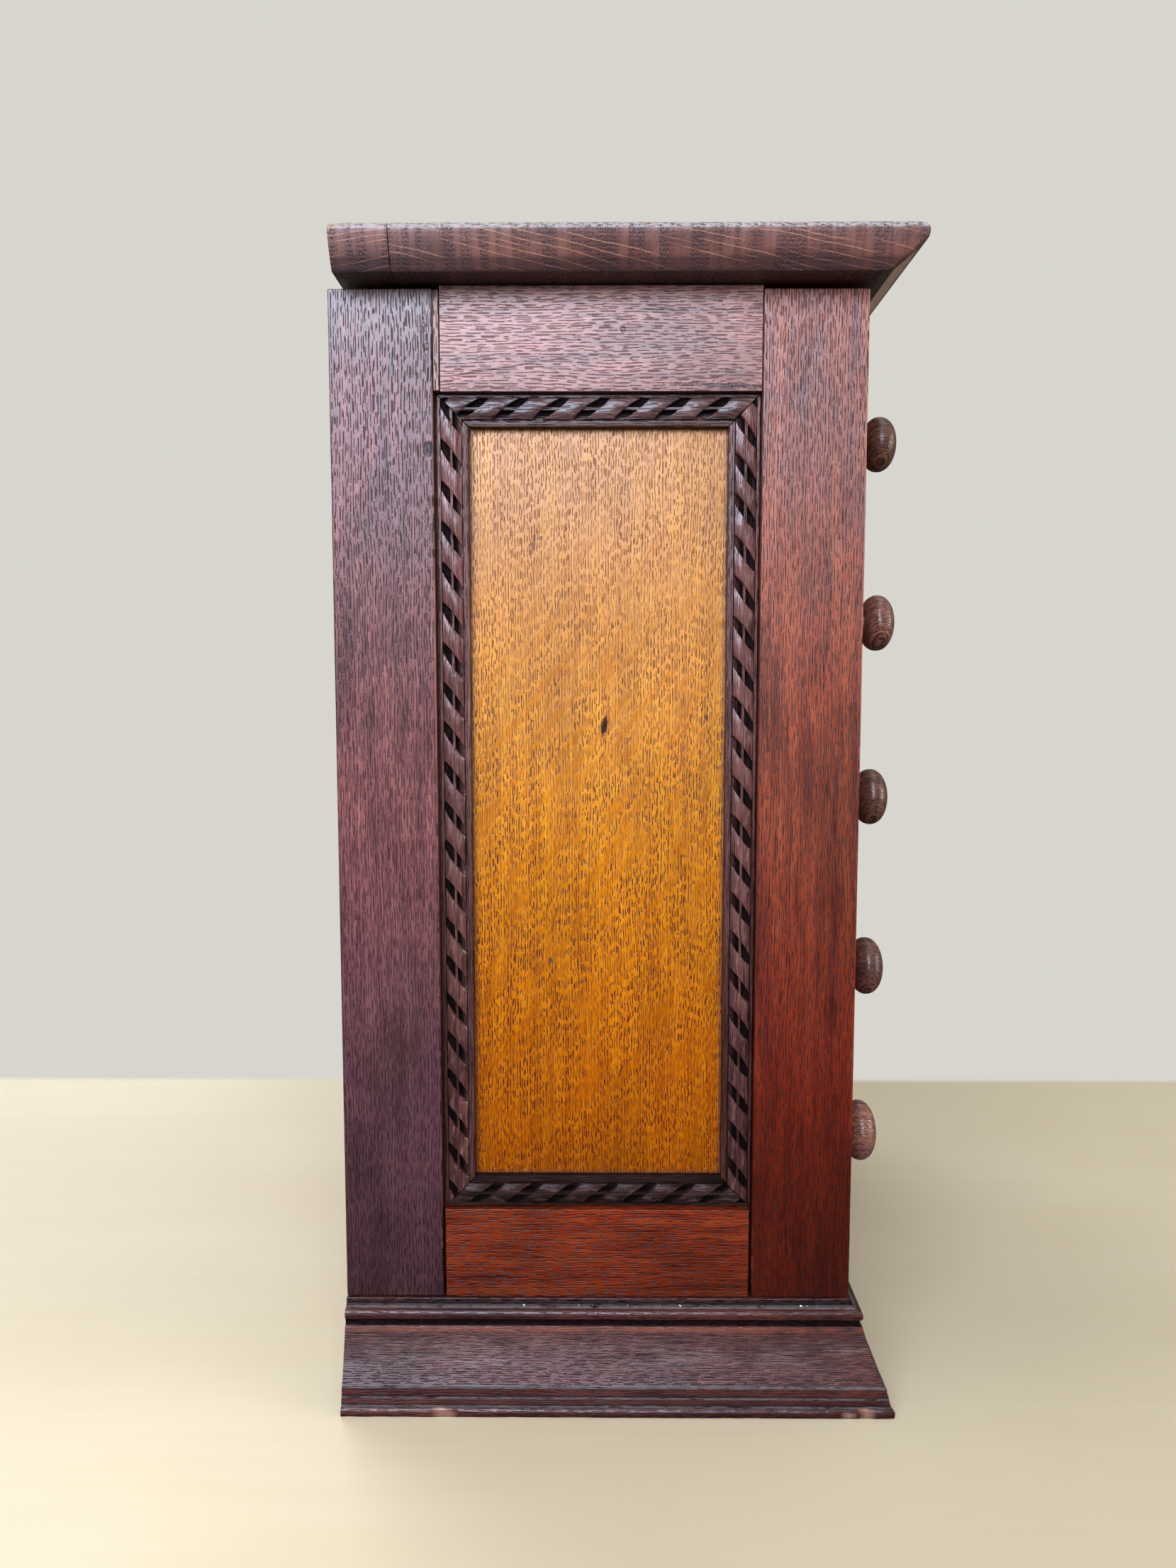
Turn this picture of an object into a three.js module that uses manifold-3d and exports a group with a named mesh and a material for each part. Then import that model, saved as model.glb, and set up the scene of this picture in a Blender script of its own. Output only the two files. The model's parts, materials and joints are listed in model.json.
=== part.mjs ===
// A miniature chest of five drawers in stained oak. Two frame-and-panel sides, each with a rope
// moulding round its panel, stand on a moulded plinth and carry a top with shaped edges. The drawers
// slide between thin dust boards, and each is pulled by two turned knobs.
//
// Millimetres, +Z up. The origin is on the floor, in the middle of the chest's box. The drawer
// fronts face -Y and the left side is at -X. Depths on a side are counted as u, from the rear of the
// chest forward, and as w, from the outer face of the side inward.

import * as THREE from 'three';
import { mergeVertices } from 'three/addons/utils/BufferGeometryUtils.js';
import Module from 'manifold-3d';

const wasm = await Module();
wasm.setup();

// ---------------------------------------------------------------- driving dimensions

const GAP = 0.3; // air left between neighbours that are glued or nailed together
const MITRE_GAP = 0.2; // open joint between two mitred mouldings

// Carcass
const CARCASS_WIDTH = 245; // over the outer faces of the two sides
const CARCASS_DEPTH = 171; // rear of the rear stiles to the front of the front stiles
const PLINTH_HEIGHT = 35;
const SIDE_HEIGHT = 333;
const SIDE_THICKNESS = 16;

// Side frames
const STILE_WIDTH = 33;
const TOP_RAIL_WIDTH = 32.5;
const BOTTOM_RAIL_WIDTH = 30.7;
const REAR_STILE_DROP = 0.8; // the rear stiles are this much short of the top
const FRONT_STILE_DROP = 1;
const RAIL_END_GAP = 1; // open joint at each end of a bottom rail
const SLIP_THICKNESS = 2; // packing slip beside the left top rail, which was cut short
const SLIP_DEPTH = 5;
const GROOVE_START = 6.2; // w of the groove that holds the panel and the rails' tenons
const GROOVE_WIDTH = 5;
const GROOVE_DEPTH = 5.5;
const PANEL_THICKNESS = 4.4;
const TENON_LENGTH = 5;
const TENON_SHOULDER = 5;

// Rope mouldings round the panels
const ROPE_WIDTH = 10;
const ROPE_HEIGHT = 5.1;
const ROPE_OUTER_FILLET = 1.7;
const ROPE_INNER_FILLET = 1.8;
const ROPE_FILLET_HEIGHT = 3.6;
const ROPE_REAR_MARGIN = 0.8; // open joint beside the rear stile

// Top
const TOP_THICKNESS = 13;
const TOP_SIDE_OVERHANG = 17;
const TOP_SIDE_OVERHANG_BELOW = 11.5;
const TOP_FRONT_OVERHANG = 14.2;
const TOP_FRONT_OVERHANG_BELOW = 4;
const TOP_REAR_INSET = 4.2;
const TOP_REAR_STRIP_WIDTH = 18;

// Plinth
const PLINTH_OVERHANG = 13.3;
const PLINTH_INSET = 14; // the plinth's pieces reach this far in under the carcass
const PLINTH_REAR_THICKNESS = 12;

// Rear and inside of the carcass
const BACK_THICKNESS = 5;
const BACK_RECESS = 1;
const BACK_REBATE = 6; // the back board laps this far over the rear stiles
const RAIL_THICKNESS = 5; // dust boards, whose front edges are the rails between the drawers
const TOP_RAIL_DEPTH = 33;
const TOP_REAR_RAIL_DEPTH = 12;
const BOTTOM_RAIL_DEPTH = 20;

// Drawers, counted from the top
const DRAWER_PITCH = 63;
const LOWEST_DRAWER_CENTRE = 75.8; // height above the floor
const DRAWER_SETBACKS = [0, -0.8, 0.2, 0.4, 1.5]; // how far each sits behind the front of the stiles
const DRAWER_SIDE_PLAY = 0.6;
const DRAWER_HEIGHT_PLAY = 0.5;
const DRAWER_LENGTH = 161;
const FRONT_THICKNESS = 9;
const LINING_THICKNESS = 5;
const DRAWER_BACK_THICKNESS = 4.5;
const LINING_HEIGHT = 54;
const BOTTOM_THICKNESS = 3;
const BOTTOM_RAISE = 4; // from the drawer's lower edge to the underside of its bottom
const BOTTOM_HOUSING = 2; // how far the bottom runs into its grooves

// Knobs
const KNOB_DIAMETERS = [19, 20, 20.4, 21, 22]; // hand-turned, one pair to each drawer
const KNOB_REACH = 20.2;
const KNOB_HEAD_HALF_DEPTH = 6;
const KNOB_COLLAR_RADIUS = 6.2;
const KNOB_COLLAR_DEPTH = 1.4;
const KNOB_NECK_RADIUS = 4.6;
const KNOB_SPIGOT_RADIUS = 4;
const KNOB_SPIGOT_LENGTH = 8.4;
const KNOB_INSET = 45; // knob axis from the outer face of the nearer side

// Fineness of round shapes
const CURVE_STEPS = 5;
const TURNED_SEGMENTS = 16;
const HOLE_SEGMENTS = 16;

// ---------------------------------------------------------------- derived places

const PROUDEST_DRAWER = -Math.min(...DRAWER_SETBACKS);
const HALF_WIDTH = CARCASS_WIDTH / 2;
const REAR = (CARCASS_DEPTH + KNOB_REACH + PROUDEST_DRAWER) / 2;
const FRONT = REAR - CARCASS_DEPTH;
const CARCASS_TOP = PLINTH_HEIGHT + SIDE_HEIGHT;
const INNER_HALF_WIDTH = HALF_WIDTH - SIDE_THICKNESS;
const FRONT_STILE_START = CARCASS_DEPTH - STILE_WIDTH - GAP;
const PANEL_FACE = GROOVE_START + GAP;
const OPENING_HEIGHT = DRAWER_PITCH - RAIL_THICKNESS;
const INSIDE_FLOOR = LOWEST_DRAWER_CENTRE - OPENING_HEIGHT / 2;
const BACK_FRONT_FACE = REAR - BACK_RECESS - BACK_THICKNESS - GAP;
const DRAWER_COUNT = DRAWER_SETBACKS.length;
const DRAWER_HALF_WIDTH = INNER_HALF_WIDTH - DRAWER_SIDE_PLAY;
const DRAWER_HEIGHT = OPENING_HEIGHT - 2 * DRAWER_HEIGHT_PLAY;

// ---------------------------------------------------------------- materials

function wood(colour, roughness) {
  return new THREE.MeshStandardMaterial({ color: colour, roughness, metalness: 0 });
}

const MATERIALS = {
  frame: wood(0x55261e, 0.45),
  top: wood(0x6e3522, 0.5),
  plinth: wood(0x3f1c1a, 0.42),
  rope: wood(0x3c1d1a, 0.4),
  panel: wood(0xbd6a1c, 0.4),
  drawerFront: wood(0x64301f, 0.42),
  knob: wood(0x5c3822, 0.35),
  lining: wood(0xb58a57, 0.65),
  inside: wood(0x8f6238, 0.7),
  slip: wood(0x9c6f62, 0.6),
};

// ---------------------------------------------------------------- geometry helpers

function toSolid(geometry) {
  const bare = geometry.clone();
  bare.deleteAttribute('normal');
  bare.deleteAttribute('uv');
  const merged = mergeVertices(bare, 1e-3);
  return new wasm.Manifold(new wasm.Mesh({
    numProp: 3,
    vertProperties: new Float32Array(merged.attributes.position.array),
    triVerts: new Uint32Array(merged.index.array),
  }));
}

function toGeometry(solid) {
  const mesh = solid.getMesh();
  const geometry = new THREE.BufferGeometry();
  geometry.setAttribute('position', new THREE.BufferAttribute(mesh.vertProperties, 3));
  geometry.setIndex(new THREE.BufferAttribute(mesh.triVerts, 1));
  geometry.computeVertexNormals();
  return geometry;
}

function intersection(first, second) {
  return toGeometry(toSolid(first).intersect(toSolid(second)));
}

function union(...geometries) {
  return toGeometry(geometries.map(toSolid).reduce((whole, piece) => whole.add(piece)));
}

function difference(base, ...cutters) {
  return toGeometry(cutters.map(toSolid).reduce((rest, cutter) => rest.subtract(cutter), toSolid(base)));
}

// A plank given by its lowest and highest x, y and z.
function plank([x0, x1], [y0, y1], [z0, z1]) {
  const geometry = new THREE.BoxGeometry(x1 - x0, y1 - y0, z1 - z0);
  return geometry.translate((x0 + x1) / 2, (y0 + y1) / 2, (z0 + z1) / 2);
}

function outline(points) {
  return new THREE.Shape(points.map(([a, b]) => new THREE.Vector2(a, b)));
}

// Where an outline's own two axes and its extrusion point, for each axis it can be extruded along.
const EXTRUSION_BASES = {
  x: new THREE.Matrix4().makeBasis(
    new THREE.Vector3(0, 1, 0), new THREE.Vector3(0, 0, 1), new THREE.Vector3(1, 0, 0)),
  y: new THREE.Matrix4().makeBasis(
    new THREE.Vector3(1, 0, 0), new THREE.Vector3(0, 0, 1), new THREE.Vector3(0, -1, 0)),
  z: new THREE.Matrix4(),
};

// Extrudes an outline from `start` to `end` along an axis. The outline is in y and z for axis x, in
// x and z for axis y, and in x and y for axis z.
function prism(shape, axis, start, end) {
  const geometry = new THREE.ExtrudeGeometry(shape, {
    depth: end - start,
    bevelEnabled: false,
    curveSegments: CURVE_STEPS,
  });
  geometry.applyMatrix4(EXTRUSION_BASES[axis]);
  const shift = { x: [start, 0, 0], y: [0, end, 0], z: [0, 0, start] }[axis];
  return geometry.translate(...shift);
}

function part(name, geometry, material) {
  const mesh = new THREE.Mesh(geometry, material);
  mesh.name = name;
  return mesh;
}

// ---------------------------------------------------------------- side frames

// A frame side is -1 on the left and 1 on the right. Its points are given by w and u.
function sidePoint(side, w, u) {
  return [side * (HALF_WIDTH - w), REAR - u];
}

function sidePlank(side, [w0, w1], [u0, u1], heights) {
  const xs = [side * (HALF_WIDTH - w0), side * (HALF_WIDTH - w1)].sort((a, b) => a - b);
  return plank(xs, [REAR - u1, REAR - u0], heights);
}

// Both stiles have a groove in the edge that faces the panel. The rear one is also rebated for the
// back board.
function rearStile(side) {
  const grooveEnd = GROOVE_START + GROOVE_WIDTH;
  const grooveFloor = STILE_WIDTH - GROOVE_DEPTH;
  const rebateWall = SIDE_THICKNESS - BACK_REBATE - GAP;
  const rebateFloor = BACK_RECESS + BACK_THICKNESS + GAP;
  const shape = outline([
    sidePoint(side, 0, 0),
    sidePoint(side, 0, STILE_WIDTH),
    sidePoint(side, GROOVE_START, STILE_WIDTH),
    sidePoint(side, GROOVE_START, grooveFloor),
    sidePoint(side, grooveEnd, grooveFloor),
    sidePoint(side, grooveEnd, STILE_WIDTH),
    sidePoint(side, SIDE_THICKNESS, STILE_WIDTH),
    sidePoint(side, SIDE_THICKNESS, rebateFloor),
    sidePoint(side, rebateWall, rebateFloor),
    sidePoint(side, rebateWall, 0),
  ]);
  return prism(shape, 'z', PLINTH_HEIGHT, CARCASS_TOP - REAR_STILE_DROP);
}

function frontStile(side) {
  const grooveEnd = GROOVE_START + GROOVE_WIDTH;
  const grooveFloor = FRONT_STILE_START + GROOVE_DEPTH;
  const shape = outline([
    sidePoint(side, 0, FRONT_STILE_START),
    sidePoint(side, 0, CARCASS_DEPTH),
    sidePoint(side, SIDE_THICKNESS, CARCASS_DEPTH),
    sidePoint(side, SIDE_THICKNESS, FRONT_STILE_START),
    sidePoint(side, grooveEnd, FRONT_STILE_START),
    sidePoint(side, grooveEnd, grooveFloor),
    sidePoint(side, GROOVE_START, grooveFloor),
    sidePoint(side, GROOVE_START, FRONT_STILE_START),
  ]);
  return prism(shape, 'z', PLINTH_HEIGHT, CARCASS_TOP - FRONT_STILE_DROP);
}

// A rail runs between the stiles from u0 to u1. `panelEdge` is the height of its grooved edge and
// `plainEdge` that of the other. Stub tenons at both ends stand in the stiles' grooves.
function sideRail(side, [u0, u1], panelEdge, plainEdge) {
  const heights = [panelEdge, plainEdge].sort((a, b) => a - b);
  const outward = Math.sign(plainEdge - panelEdge);
  const grooveHeights = [panelEdge - outward, panelEdge + outward * GROOVE_DEPTH].sort((a, b) => a - b);
  const tenonThickness = [PANEL_FACE, PANEL_FACE + PANEL_THICKNESS];
  const tenonHeights = [heights[0] + TENON_SHOULDER, heights[1] - TENON_SHOULDER];
  const tenonReach = [
    STILE_WIDTH - TENON_LENGTH,
    FRONT_STILE_START + TENON_LENGTH,
  ];
  const rail = union(
    sidePlank(side, [0, SIDE_THICKNESS], [u0, u1], heights),
    sidePlank(side, tenonThickness, tenonReach, tenonHeights),
  );
  const groove = sidePlank(
    side,
    [GROOVE_START, GROOVE_START + GROOVE_WIDTH],
    [0, CARCASS_DEPTH],
    grooveHeights,
  );
  return difference(rail, groove);
}

// The opening between stiles and rails.
const FRAME_OPENING = {
  u: [STILE_WIDTH, FRONT_STILE_START],
  z: [PLINTH_HEIGHT + BOTTOM_RAIL_WIDTH, CARCASS_TOP - TOP_RAIL_WIDTH],
};

function sidePanel(side) {
  const tongue = GROOVE_DEPTH - GAP;
  const [u0, u1] = FRAME_OPENING.u;
  const [z0, z1] = FRAME_OPENING.z;
  return sidePlank(
    side,
    [PANEL_FACE, PANEL_FACE + PANEL_THICKNESS],
    [u0 - tongue, u1 + tongue],
    [z0 - tongue, z1 + tongue],
  );
}

// The section of a rope moulding before it is carved: a bead between two fillets. It starts at the
// outer edge of the frame of mouldings and stands on the panel.
function ropeSection() {
  const beadStart = ROPE_OUTER_FILLET;
  const beadEnd = ROPE_WIDTH - ROPE_INNER_FILLET;
  const beadMiddle = (beadStart + beadEnd) / 2;
  const shape = new THREE.Shape();
  shape.moveTo(0, 0);
  shape.lineTo(ROPE_WIDTH, 0);
  shape.lineTo(ROPE_WIDTH, ROPE_FILLET_HEIGHT);
  shape.lineTo(beadEnd, ROPE_FILLET_HEIGHT);
  shape.absellipse(
    beadMiddle,
    ROPE_FILLET_HEIGHT,
    (beadEnd - beadStart) / 2,
    ROPE_HEIGHT - ROPE_FILLET_HEIGHT,
    0,
    Math.PI,
  );
  shape.lineTo(0, ROPE_FILLET_HEIGHT);
  return shape;
}

// A mitred length of moulding: x along its outer edge, y inward across it, z out from the panel.
function ropeMoulding(length) {
  const margin = 2 * MITRE_GAP;
  const plan = outline([
    [MITRE_GAP, 0],
    [length - MITRE_GAP, 0],
    [length - MITRE_GAP - ROPE_WIDTH - margin, ROPE_WIDTH + margin],
    [MITRE_GAP + ROPE_WIDTH + margin, ROPE_WIDTH + margin],
  ]);
  return intersection(
    prism(ropeSection(), 'x', 0, length),
    prism(plan, 'z', -margin, ROPE_HEIGHT + margin),
  );
}

// The frame of four mouldings lies in the frame opening, a little forward of the rear stile.
function ropeMouldings(side, sideName) {
  const u0 = FRAME_OPENING.u[0] + ROPE_REAR_MARGIN;
  const u1 = FRAME_OPENING.u[1] - GAP;
  const z0 = FRAME_OPENING.z[0] + GAP;
  const z1 = FRAME_OPENING.z[1] - GAP;
  const runs = [
    { place: 'bottom', from: [u0, z0], to: [u1, z0] },
    { place: 'front', from: [u1, z0], to: [u1, z1] },
    { place: 'top', from: [u1, z1], to: [u0, z1] },
    { place: 'rear', from: [u0, z1], to: [u0, z0] },
  ];
  return runs.map(({ place, from, to }) => {
    // The frame is walked the other way round on the right, so that z still points outward.
    const [start, end] = side < 0 ? [from, to] : [to, from];
    const along = new THREE.Vector3(0, start[0] - end[0], end[1] - start[1]);
    const length = along.length();
    along.normalize();
    const outward = new THREE.Vector3(side, 0, 0);
    const inward = new THREE.Vector3().crossVectors(outward, along);
    const [x, y] = sidePoint(side, GROOVE_START, start[0]);
    const placement = new THREE.Matrix4().makeBasis(along, inward, outward).setPosition(x, y, start[1]);
    const moulding = part(`${sideName}_rope_${place}`, ropeMoulding(length), MATERIALS.rope);
    moulding.applyMatrix4(placement);
    return moulding;
  });
}

function sideFrame(side, sideName) {
  const group = new THREE.Group();
  const [openingBottom, openingTop] = FRAME_OPENING.z;
  const rearSlack = sideName === 'left' ? SLIP_THICKNESS : 0;
  const topRail = sideRail(
    side, [STILE_WIDTH + GAP + rearSlack, FRONT_STILE_START - GAP], openingTop, CARCASS_TOP);
  const bottomRail = sideRail(
    side, [STILE_WIDTH + RAIL_END_GAP, FRONT_STILE_START - RAIL_END_GAP], openingBottom, PLINTH_HEIGHT);
  group.add(
    part(`${sideName}_rear_stile`, rearStile(side), MATERIALS.frame),
    part(`${sideName}_front_stile`, frontStile(side), MATERIALS.frame),
    part(`${sideName}_top_rail`, topRail, MATERIALS.frame),
    part(`${sideName}_bottom_rail`, bottomRail, MATERIALS.frame),
    part(`${sideName}_panel`, sidePanel(side), MATERIALS.panel),
    ...ropeMouldings(side, sideName),
  );
  return group;
}

// The thin slip that fills the joint beside the left top rail.
function packingSlip() {
  return sidePlank(
    -1,
    [0.2, SLIP_DEPTH],
    [STILE_WIDTH + GAP / 2, STILE_WIDTH + SLIP_THICKNESS],
    [CARCASS_TOP - TOP_RAIL_WIDTH + GAP, CARCASS_TOP - FRONT_STILE_DROP],
  );
}

// ---------------------------------------------------------------- top

// The section across the chest: both side edges are full at the top and hollow out below.
function topSideSection() {
  const wide = HALF_WIDTH + TOP_SIDE_OVERHANG;
  const narrow = HALF_WIDTH + TOP_SIDE_OVERHANG_BELOW;
  const bottom = CARCASS_TOP + GAP;
  const top = CARCASS_TOP + TOP_THICKNESS;
  const shoulder = top - 2.1;
  const shape = new THREE.Shape();
  shape.moveTo(-narrow, bottom);
  shape.lineTo(narrow, bottom);
  shape.quadraticCurveTo(wide - 1.7, bottom + 4.7, wide, shoulder);
  shape.quadraticCurveTo(wide, top - 0.3, wide - 1.4, top);
  shape.lineTo(1.4 - wide, top);
  shape.quadraticCurveTo(-wide, top - 0.3, -wide, shoulder);
  shape.quadraticCurveTo(1.7 - wide, bottom + 4.7, -narrow, bottom);
  return shape;
}

// The section from front to rear: the front edge is bevelled underneath up to a rounded nose.
function topFrontSection() {
  const nose = FRONT - TOP_FRONT_OVERHANG;
  const soffitEdge = FRONT - TOP_FRONT_OVERHANG_BELOW;
  const bottom = CARCASS_TOP + GAP;
  const top = CARCASS_TOP + TOP_THICKNESS;
  const rear = REAR - TOP_REAR_INSET;
  const shape = new THREE.Shape();
  shape.moveTo(rear, bottom);
  shape.lineTo(rear, top);
  shape.lineTo(nose + 2.7, top);
  shape.quadraticCurveTo(nose - 0.1, top - 0.1, nose, top - 2.6);
  shape.quadraticCurveTo(nose + 0.1, top - 4.2, nose + 1.6, top - 5.6);
  shape.quadraticCurveTo(soffitEdge - 2.3, bottom + 2.1, soffitEdge, bottom);
  return shape;
}

function topBoards() {
  const wide = HALF_WIDTH + TOP_SIDE_OVERHANG + 1;
  const heights = [CARCASS_TOP - 1, CARCASS_TOP + TOP_THICKNESS + 1];
  const whole = intersection(
    prism(topSideSection(), 'y', FRONT - 2 * TOP_FRONT_OVERHANG, REAR),
    prism(topFrontSection(), 'x', -wide, wide),
  );
  const joint = REAR - TOP_REAR_INSET - TOP_REAR_STRIP_WIDTH;
  const main = intersection(
    whole, plank([-wide, wide], [FRONT - 2 * TOP_FRONT_OVERHANG, joint - GAP / 2], heights));
  const strip = intersection(whole, plank([-wide, wide], [joint + GAP / 2, REAR], heights));
  return [
    part('top_board', main, MATERIALS.top),
    part('top_rear_strip', strip, MATERIALS.top),
  ];
}

// ---------------------------------------------------------------- plinth

// The plinth's section as pairs of overhang and height, from the inner edge over the top and down.
// A fillet, a bead over a quirk, a long hollow, two small steps and a bead at the floor.
function plinthSection(place) {
  const top = PLINTH_HEIGHT - GAP;
  const shape = new THREE.Shape();
  const to = (overhang, height) => shape.lineTo(...place(overhang, height));
  const curve = (control, end) => shape.quadraticCurveTo(...place(...control), ...place(...end));
  shape.moveTo(...place(-PLINTH_INSET, 0));
  to(-PLINTH_INSET, top);
  to(0.9, top);
  to(1.1, 32.7);
  to(2.5, 32);
  curve([4.2, 32], [4.2, 30.3]);
  curve([4.2, 28.9], [3.2, 28.7]);
  to(3.2, 26.9);
  to(4.1, 26.6);
  curve([6.4, 18], [10.3, 9.3]);
  to(10.9, 8.9);
  to(11.1, 5.9);
  to(11.6, 5.6);
  to(11.8, 3.6);
  to(12.3, 3.2);
  curve([PLINTH_OVERHANG + 0.3, 2.6], [PLINTH_OVERHANG, 1.2]);
  to(PLINTH_OVERHANG - 0.5, 0);
  return shape;
}

// Each moulded piece is its section, extruded and cut to its plan, which has mitres at the front
// corners.
function plinthPieces() {
  const outer = HALF_WIDTH + PLINTH_OVERHANG + 2;
  const inner = HALF_WIDTH - PLINTH_INSET - 2;
  const frontOuter = FRONT - PLINTH_OVERHANG - 2;
  const frontInner = FRONT + PLINTH_INSET + 2;
  const heights = [-1, PLINTH_HEIGHT + 1];
  const sidePiece = (side) => {
    const section = plinthSection((overhang, height) => [side * (HALF_WIDTH + overhang), height]);
    const plan = outline([
      [side * inner, frontInner + MITRE_GAP],
      [side * outer, frontOuter + MITRE_GAP],
      [side * outer, REAR],
      [side * inner, REAR],
    ]);
    return intersection(prism(section, 'y', 2 * FRONT, REAR), prism(plan, 'z', ...heights));
  };
  const frontSection = plinthSection((overhang, height) => [FRONT - overhang, height]);
  const frontPlan = outline([
    [-outer, frontOuter - MITRE_GAP],
    [outer, frontOuter - MITRE_GAP],
    [inner, frontInner - MITRE_GAP],
    [-inner, frontInner - MITRE_GAP],
  ]);
  const frontPiece = intersection(prism(frontSection, 'x', -outer, outer), prism(frontPlan, 'z', ...heights));
  const rearReach = HALF_WIDTH - PLINTH_INSET - GAP;
  const rearPiece = plank(
    [-rearReach, rearReach],
    [REAR - PLINTH_REAR_THICKNESS, REAR],
    [0, PLINTH_HEIGHT - GAP],
  );
  return [
    part('plinth_left', sidePiece(-1), MATERIALS.plinth),
    part('plinth_right', sidePiece(1), MATERIALS.plinth),
    part('plinth_front', frontPiece, MATERIALS.plinth),
    part('plinth_rear', rearPiece, MATERIALS.inside),
  ];
}

// ---------------------------------------------------------------- inside of the carcass

// Height of a drawer's centre. Drawers are counted from 1 at the top.
function drawerCentre(number) {
  return LOWEST_DRAWER_CENTRE + (DRAWER_COUNT - number) * DRAWER_PITCH;
}

function crossBoard(ys, zs) {
  const reach = INNER_HALF_WIDTH - GAP;
  return plank([-reach, reach], ys, zs);
}

function insideBoards() {
  const backReach = INNER_HALF_WIDTH + BACK_REBATE;
  const backBoard = plank(
    [-backReach, backReach],
    [REAR - BACK_RECESS - BACK_THICKNESS, REAR - BACK_RECESS],
    [PLINTH_HEIGHT, CARCASS_TOP - REAR_STILE_DROP],
  );
  const insideTop = drawerCentre(1) + OPENING_HEIGHT / 2;
  const topRailHeights = [insideTop, CARCASS_TOP];
  const boards = [
    part('back_board', backBoard, MATERIALS.inside),
    part('top_front_rail', crossBoard([FRONT, FRONT + TOP_RAIL_DEPTH], topRailHeights), MATERIALS.frame),
    part(
      'top_rear_rail',
      crossBoard([BACK_FRONT_FACE - TOP_REAR_RAIL_DEPTH, BACK_FRONT_FACE], topRailHeights),
      MATERIALS.inside,
    ),
    part(
      'bottom_front_rail',
      crossBoard([FRONT, FRONT + BOTTOM_RAIL_DEPTH], [PLINTH_HEIGHT, INSIDE_FLOOR]),
      MATERIALS.frame,
    ),
    part(
      'bottom_board',
      crossBoard(
        [FRONT + BOTTOM_RAIL_DEPTH + GAP, BACK_FRONT_FACE],
        [INSIDE_FLOOR - RAIL_THICKNESS, INSIDE_FLOOR],
      ),
      MATERIALS.inside,
    ),
  ];
  for (let number = 1; number < DRAWER_COUNT; number += 1) {
    const top = drawerCentre(number) - OPENING_HEIGHT / 2;
    const board = crossBoard([FRONT, BACK_FRONT_FACE], [top - RAIL_THICKNESS, top]);
    boards.push(part(`dust_board_${number}`, board, MATERIALS.frame));
  }
  return boards;
}

// ---------------------------------------------------------------- drawers

// A drawer's own frame: x across, y from its front face to the rear, z from the middle of its front.
const DRAWER_FLOOR = -DRAWER_HEIGHT / 2;
const BOTTOM_HEIGHTS = [DRAWER_FLOOR + BOTTOM_RAISE, DRAWER_FLOOR + BOTTOM_RAISE + BOTTOM_THICKNESS];
const LINING_INNER_FACE = DRAWER_HALF_WIDTH - LINING_THICKNESS;
const LINING_TOP = DRAWER_FLOOR + LINING_HEIGHT;

// The groove that the drawer's bottom slides into runs round the sides and the front.
function bottomGroove() {
  const reach = LINING_INNER_FACE + BOTTOM_HOUSING + GAP;
  return plank(
    [-reach, reach],
    [FRONT_THICKNESS - BOTTOM_HOUSING - GAP, DRAWER_LENGTH + 1],
    [BOTTOM_HEIGHTS[0] - GAP, BOTTOM_HEIGHTS[1] + GAP],
  );
}

function knobHole(x) {
  const length = FRONT_THICKNESS + 2;
  const hole = new THREE.CylinderGeometry(
    KNOB_SPIGOT_RADIUS + GAP, KNOB_SPIGOT_RADIUS + GAP, length, HOLE_SEGMENTS);
  return hole.translate(x, FRONT_THICKNESS / 2, 0);
}

function drawerFront() {
  const board = plank(
    [-DRAWER_HALF_WIDTH, DRAWER_HALF_WIDTH],
    [0, FRONT_THICKNESS],
    [-DRAWER_HEIGHT / 2, DRAWER_HEIGHT / 2],
  );
  const knobOffset = HALF_WIDTH - KNOB_INSET;
  return difference(board, bottomGroove(), knobHole(-knobOffset), knobHole(knobOffset));
}

// The two sides and the back. The back stands on the bottom, which slides in from the rear.
function drawerBox() {
  const lengths = [FRONT_THICKNESS + GAP, DRAWER_LENGTH];
  const heights = [DRAWER_FLOOR, LINING_TOP];
  const joint = LINING_INNER_FACE + 1;
  const lining = union(
    plank([-DRAWER_HALF_WIDTH, -LINING_INNER_FACE], lengths, heights),
    plank([LINING_INNER_FACE, DRAWER_HALF_WIDTH], lengths, heights),
    plank(
      [-joint, joint],
      [DRAWER_LENGTH - DRAWER_BACK_THICKNESS, DRAWER_LENGTH],
      [BOTTOM_HEIGHTS[1], LINING_TOP],
    ),
  );
  return difference(lining, bottomGroove());
}

function drawerBottom() {
  const reach = LINING_INNER_FACE + BOTTOM_HOUSING;
  return plank([-reach, reach], [FRONT_THICKNESS - BOTTOM_HOUSING, DRAWER_LENGTH - GAP], BOTTOM_HEIGHTS);
}

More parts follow.
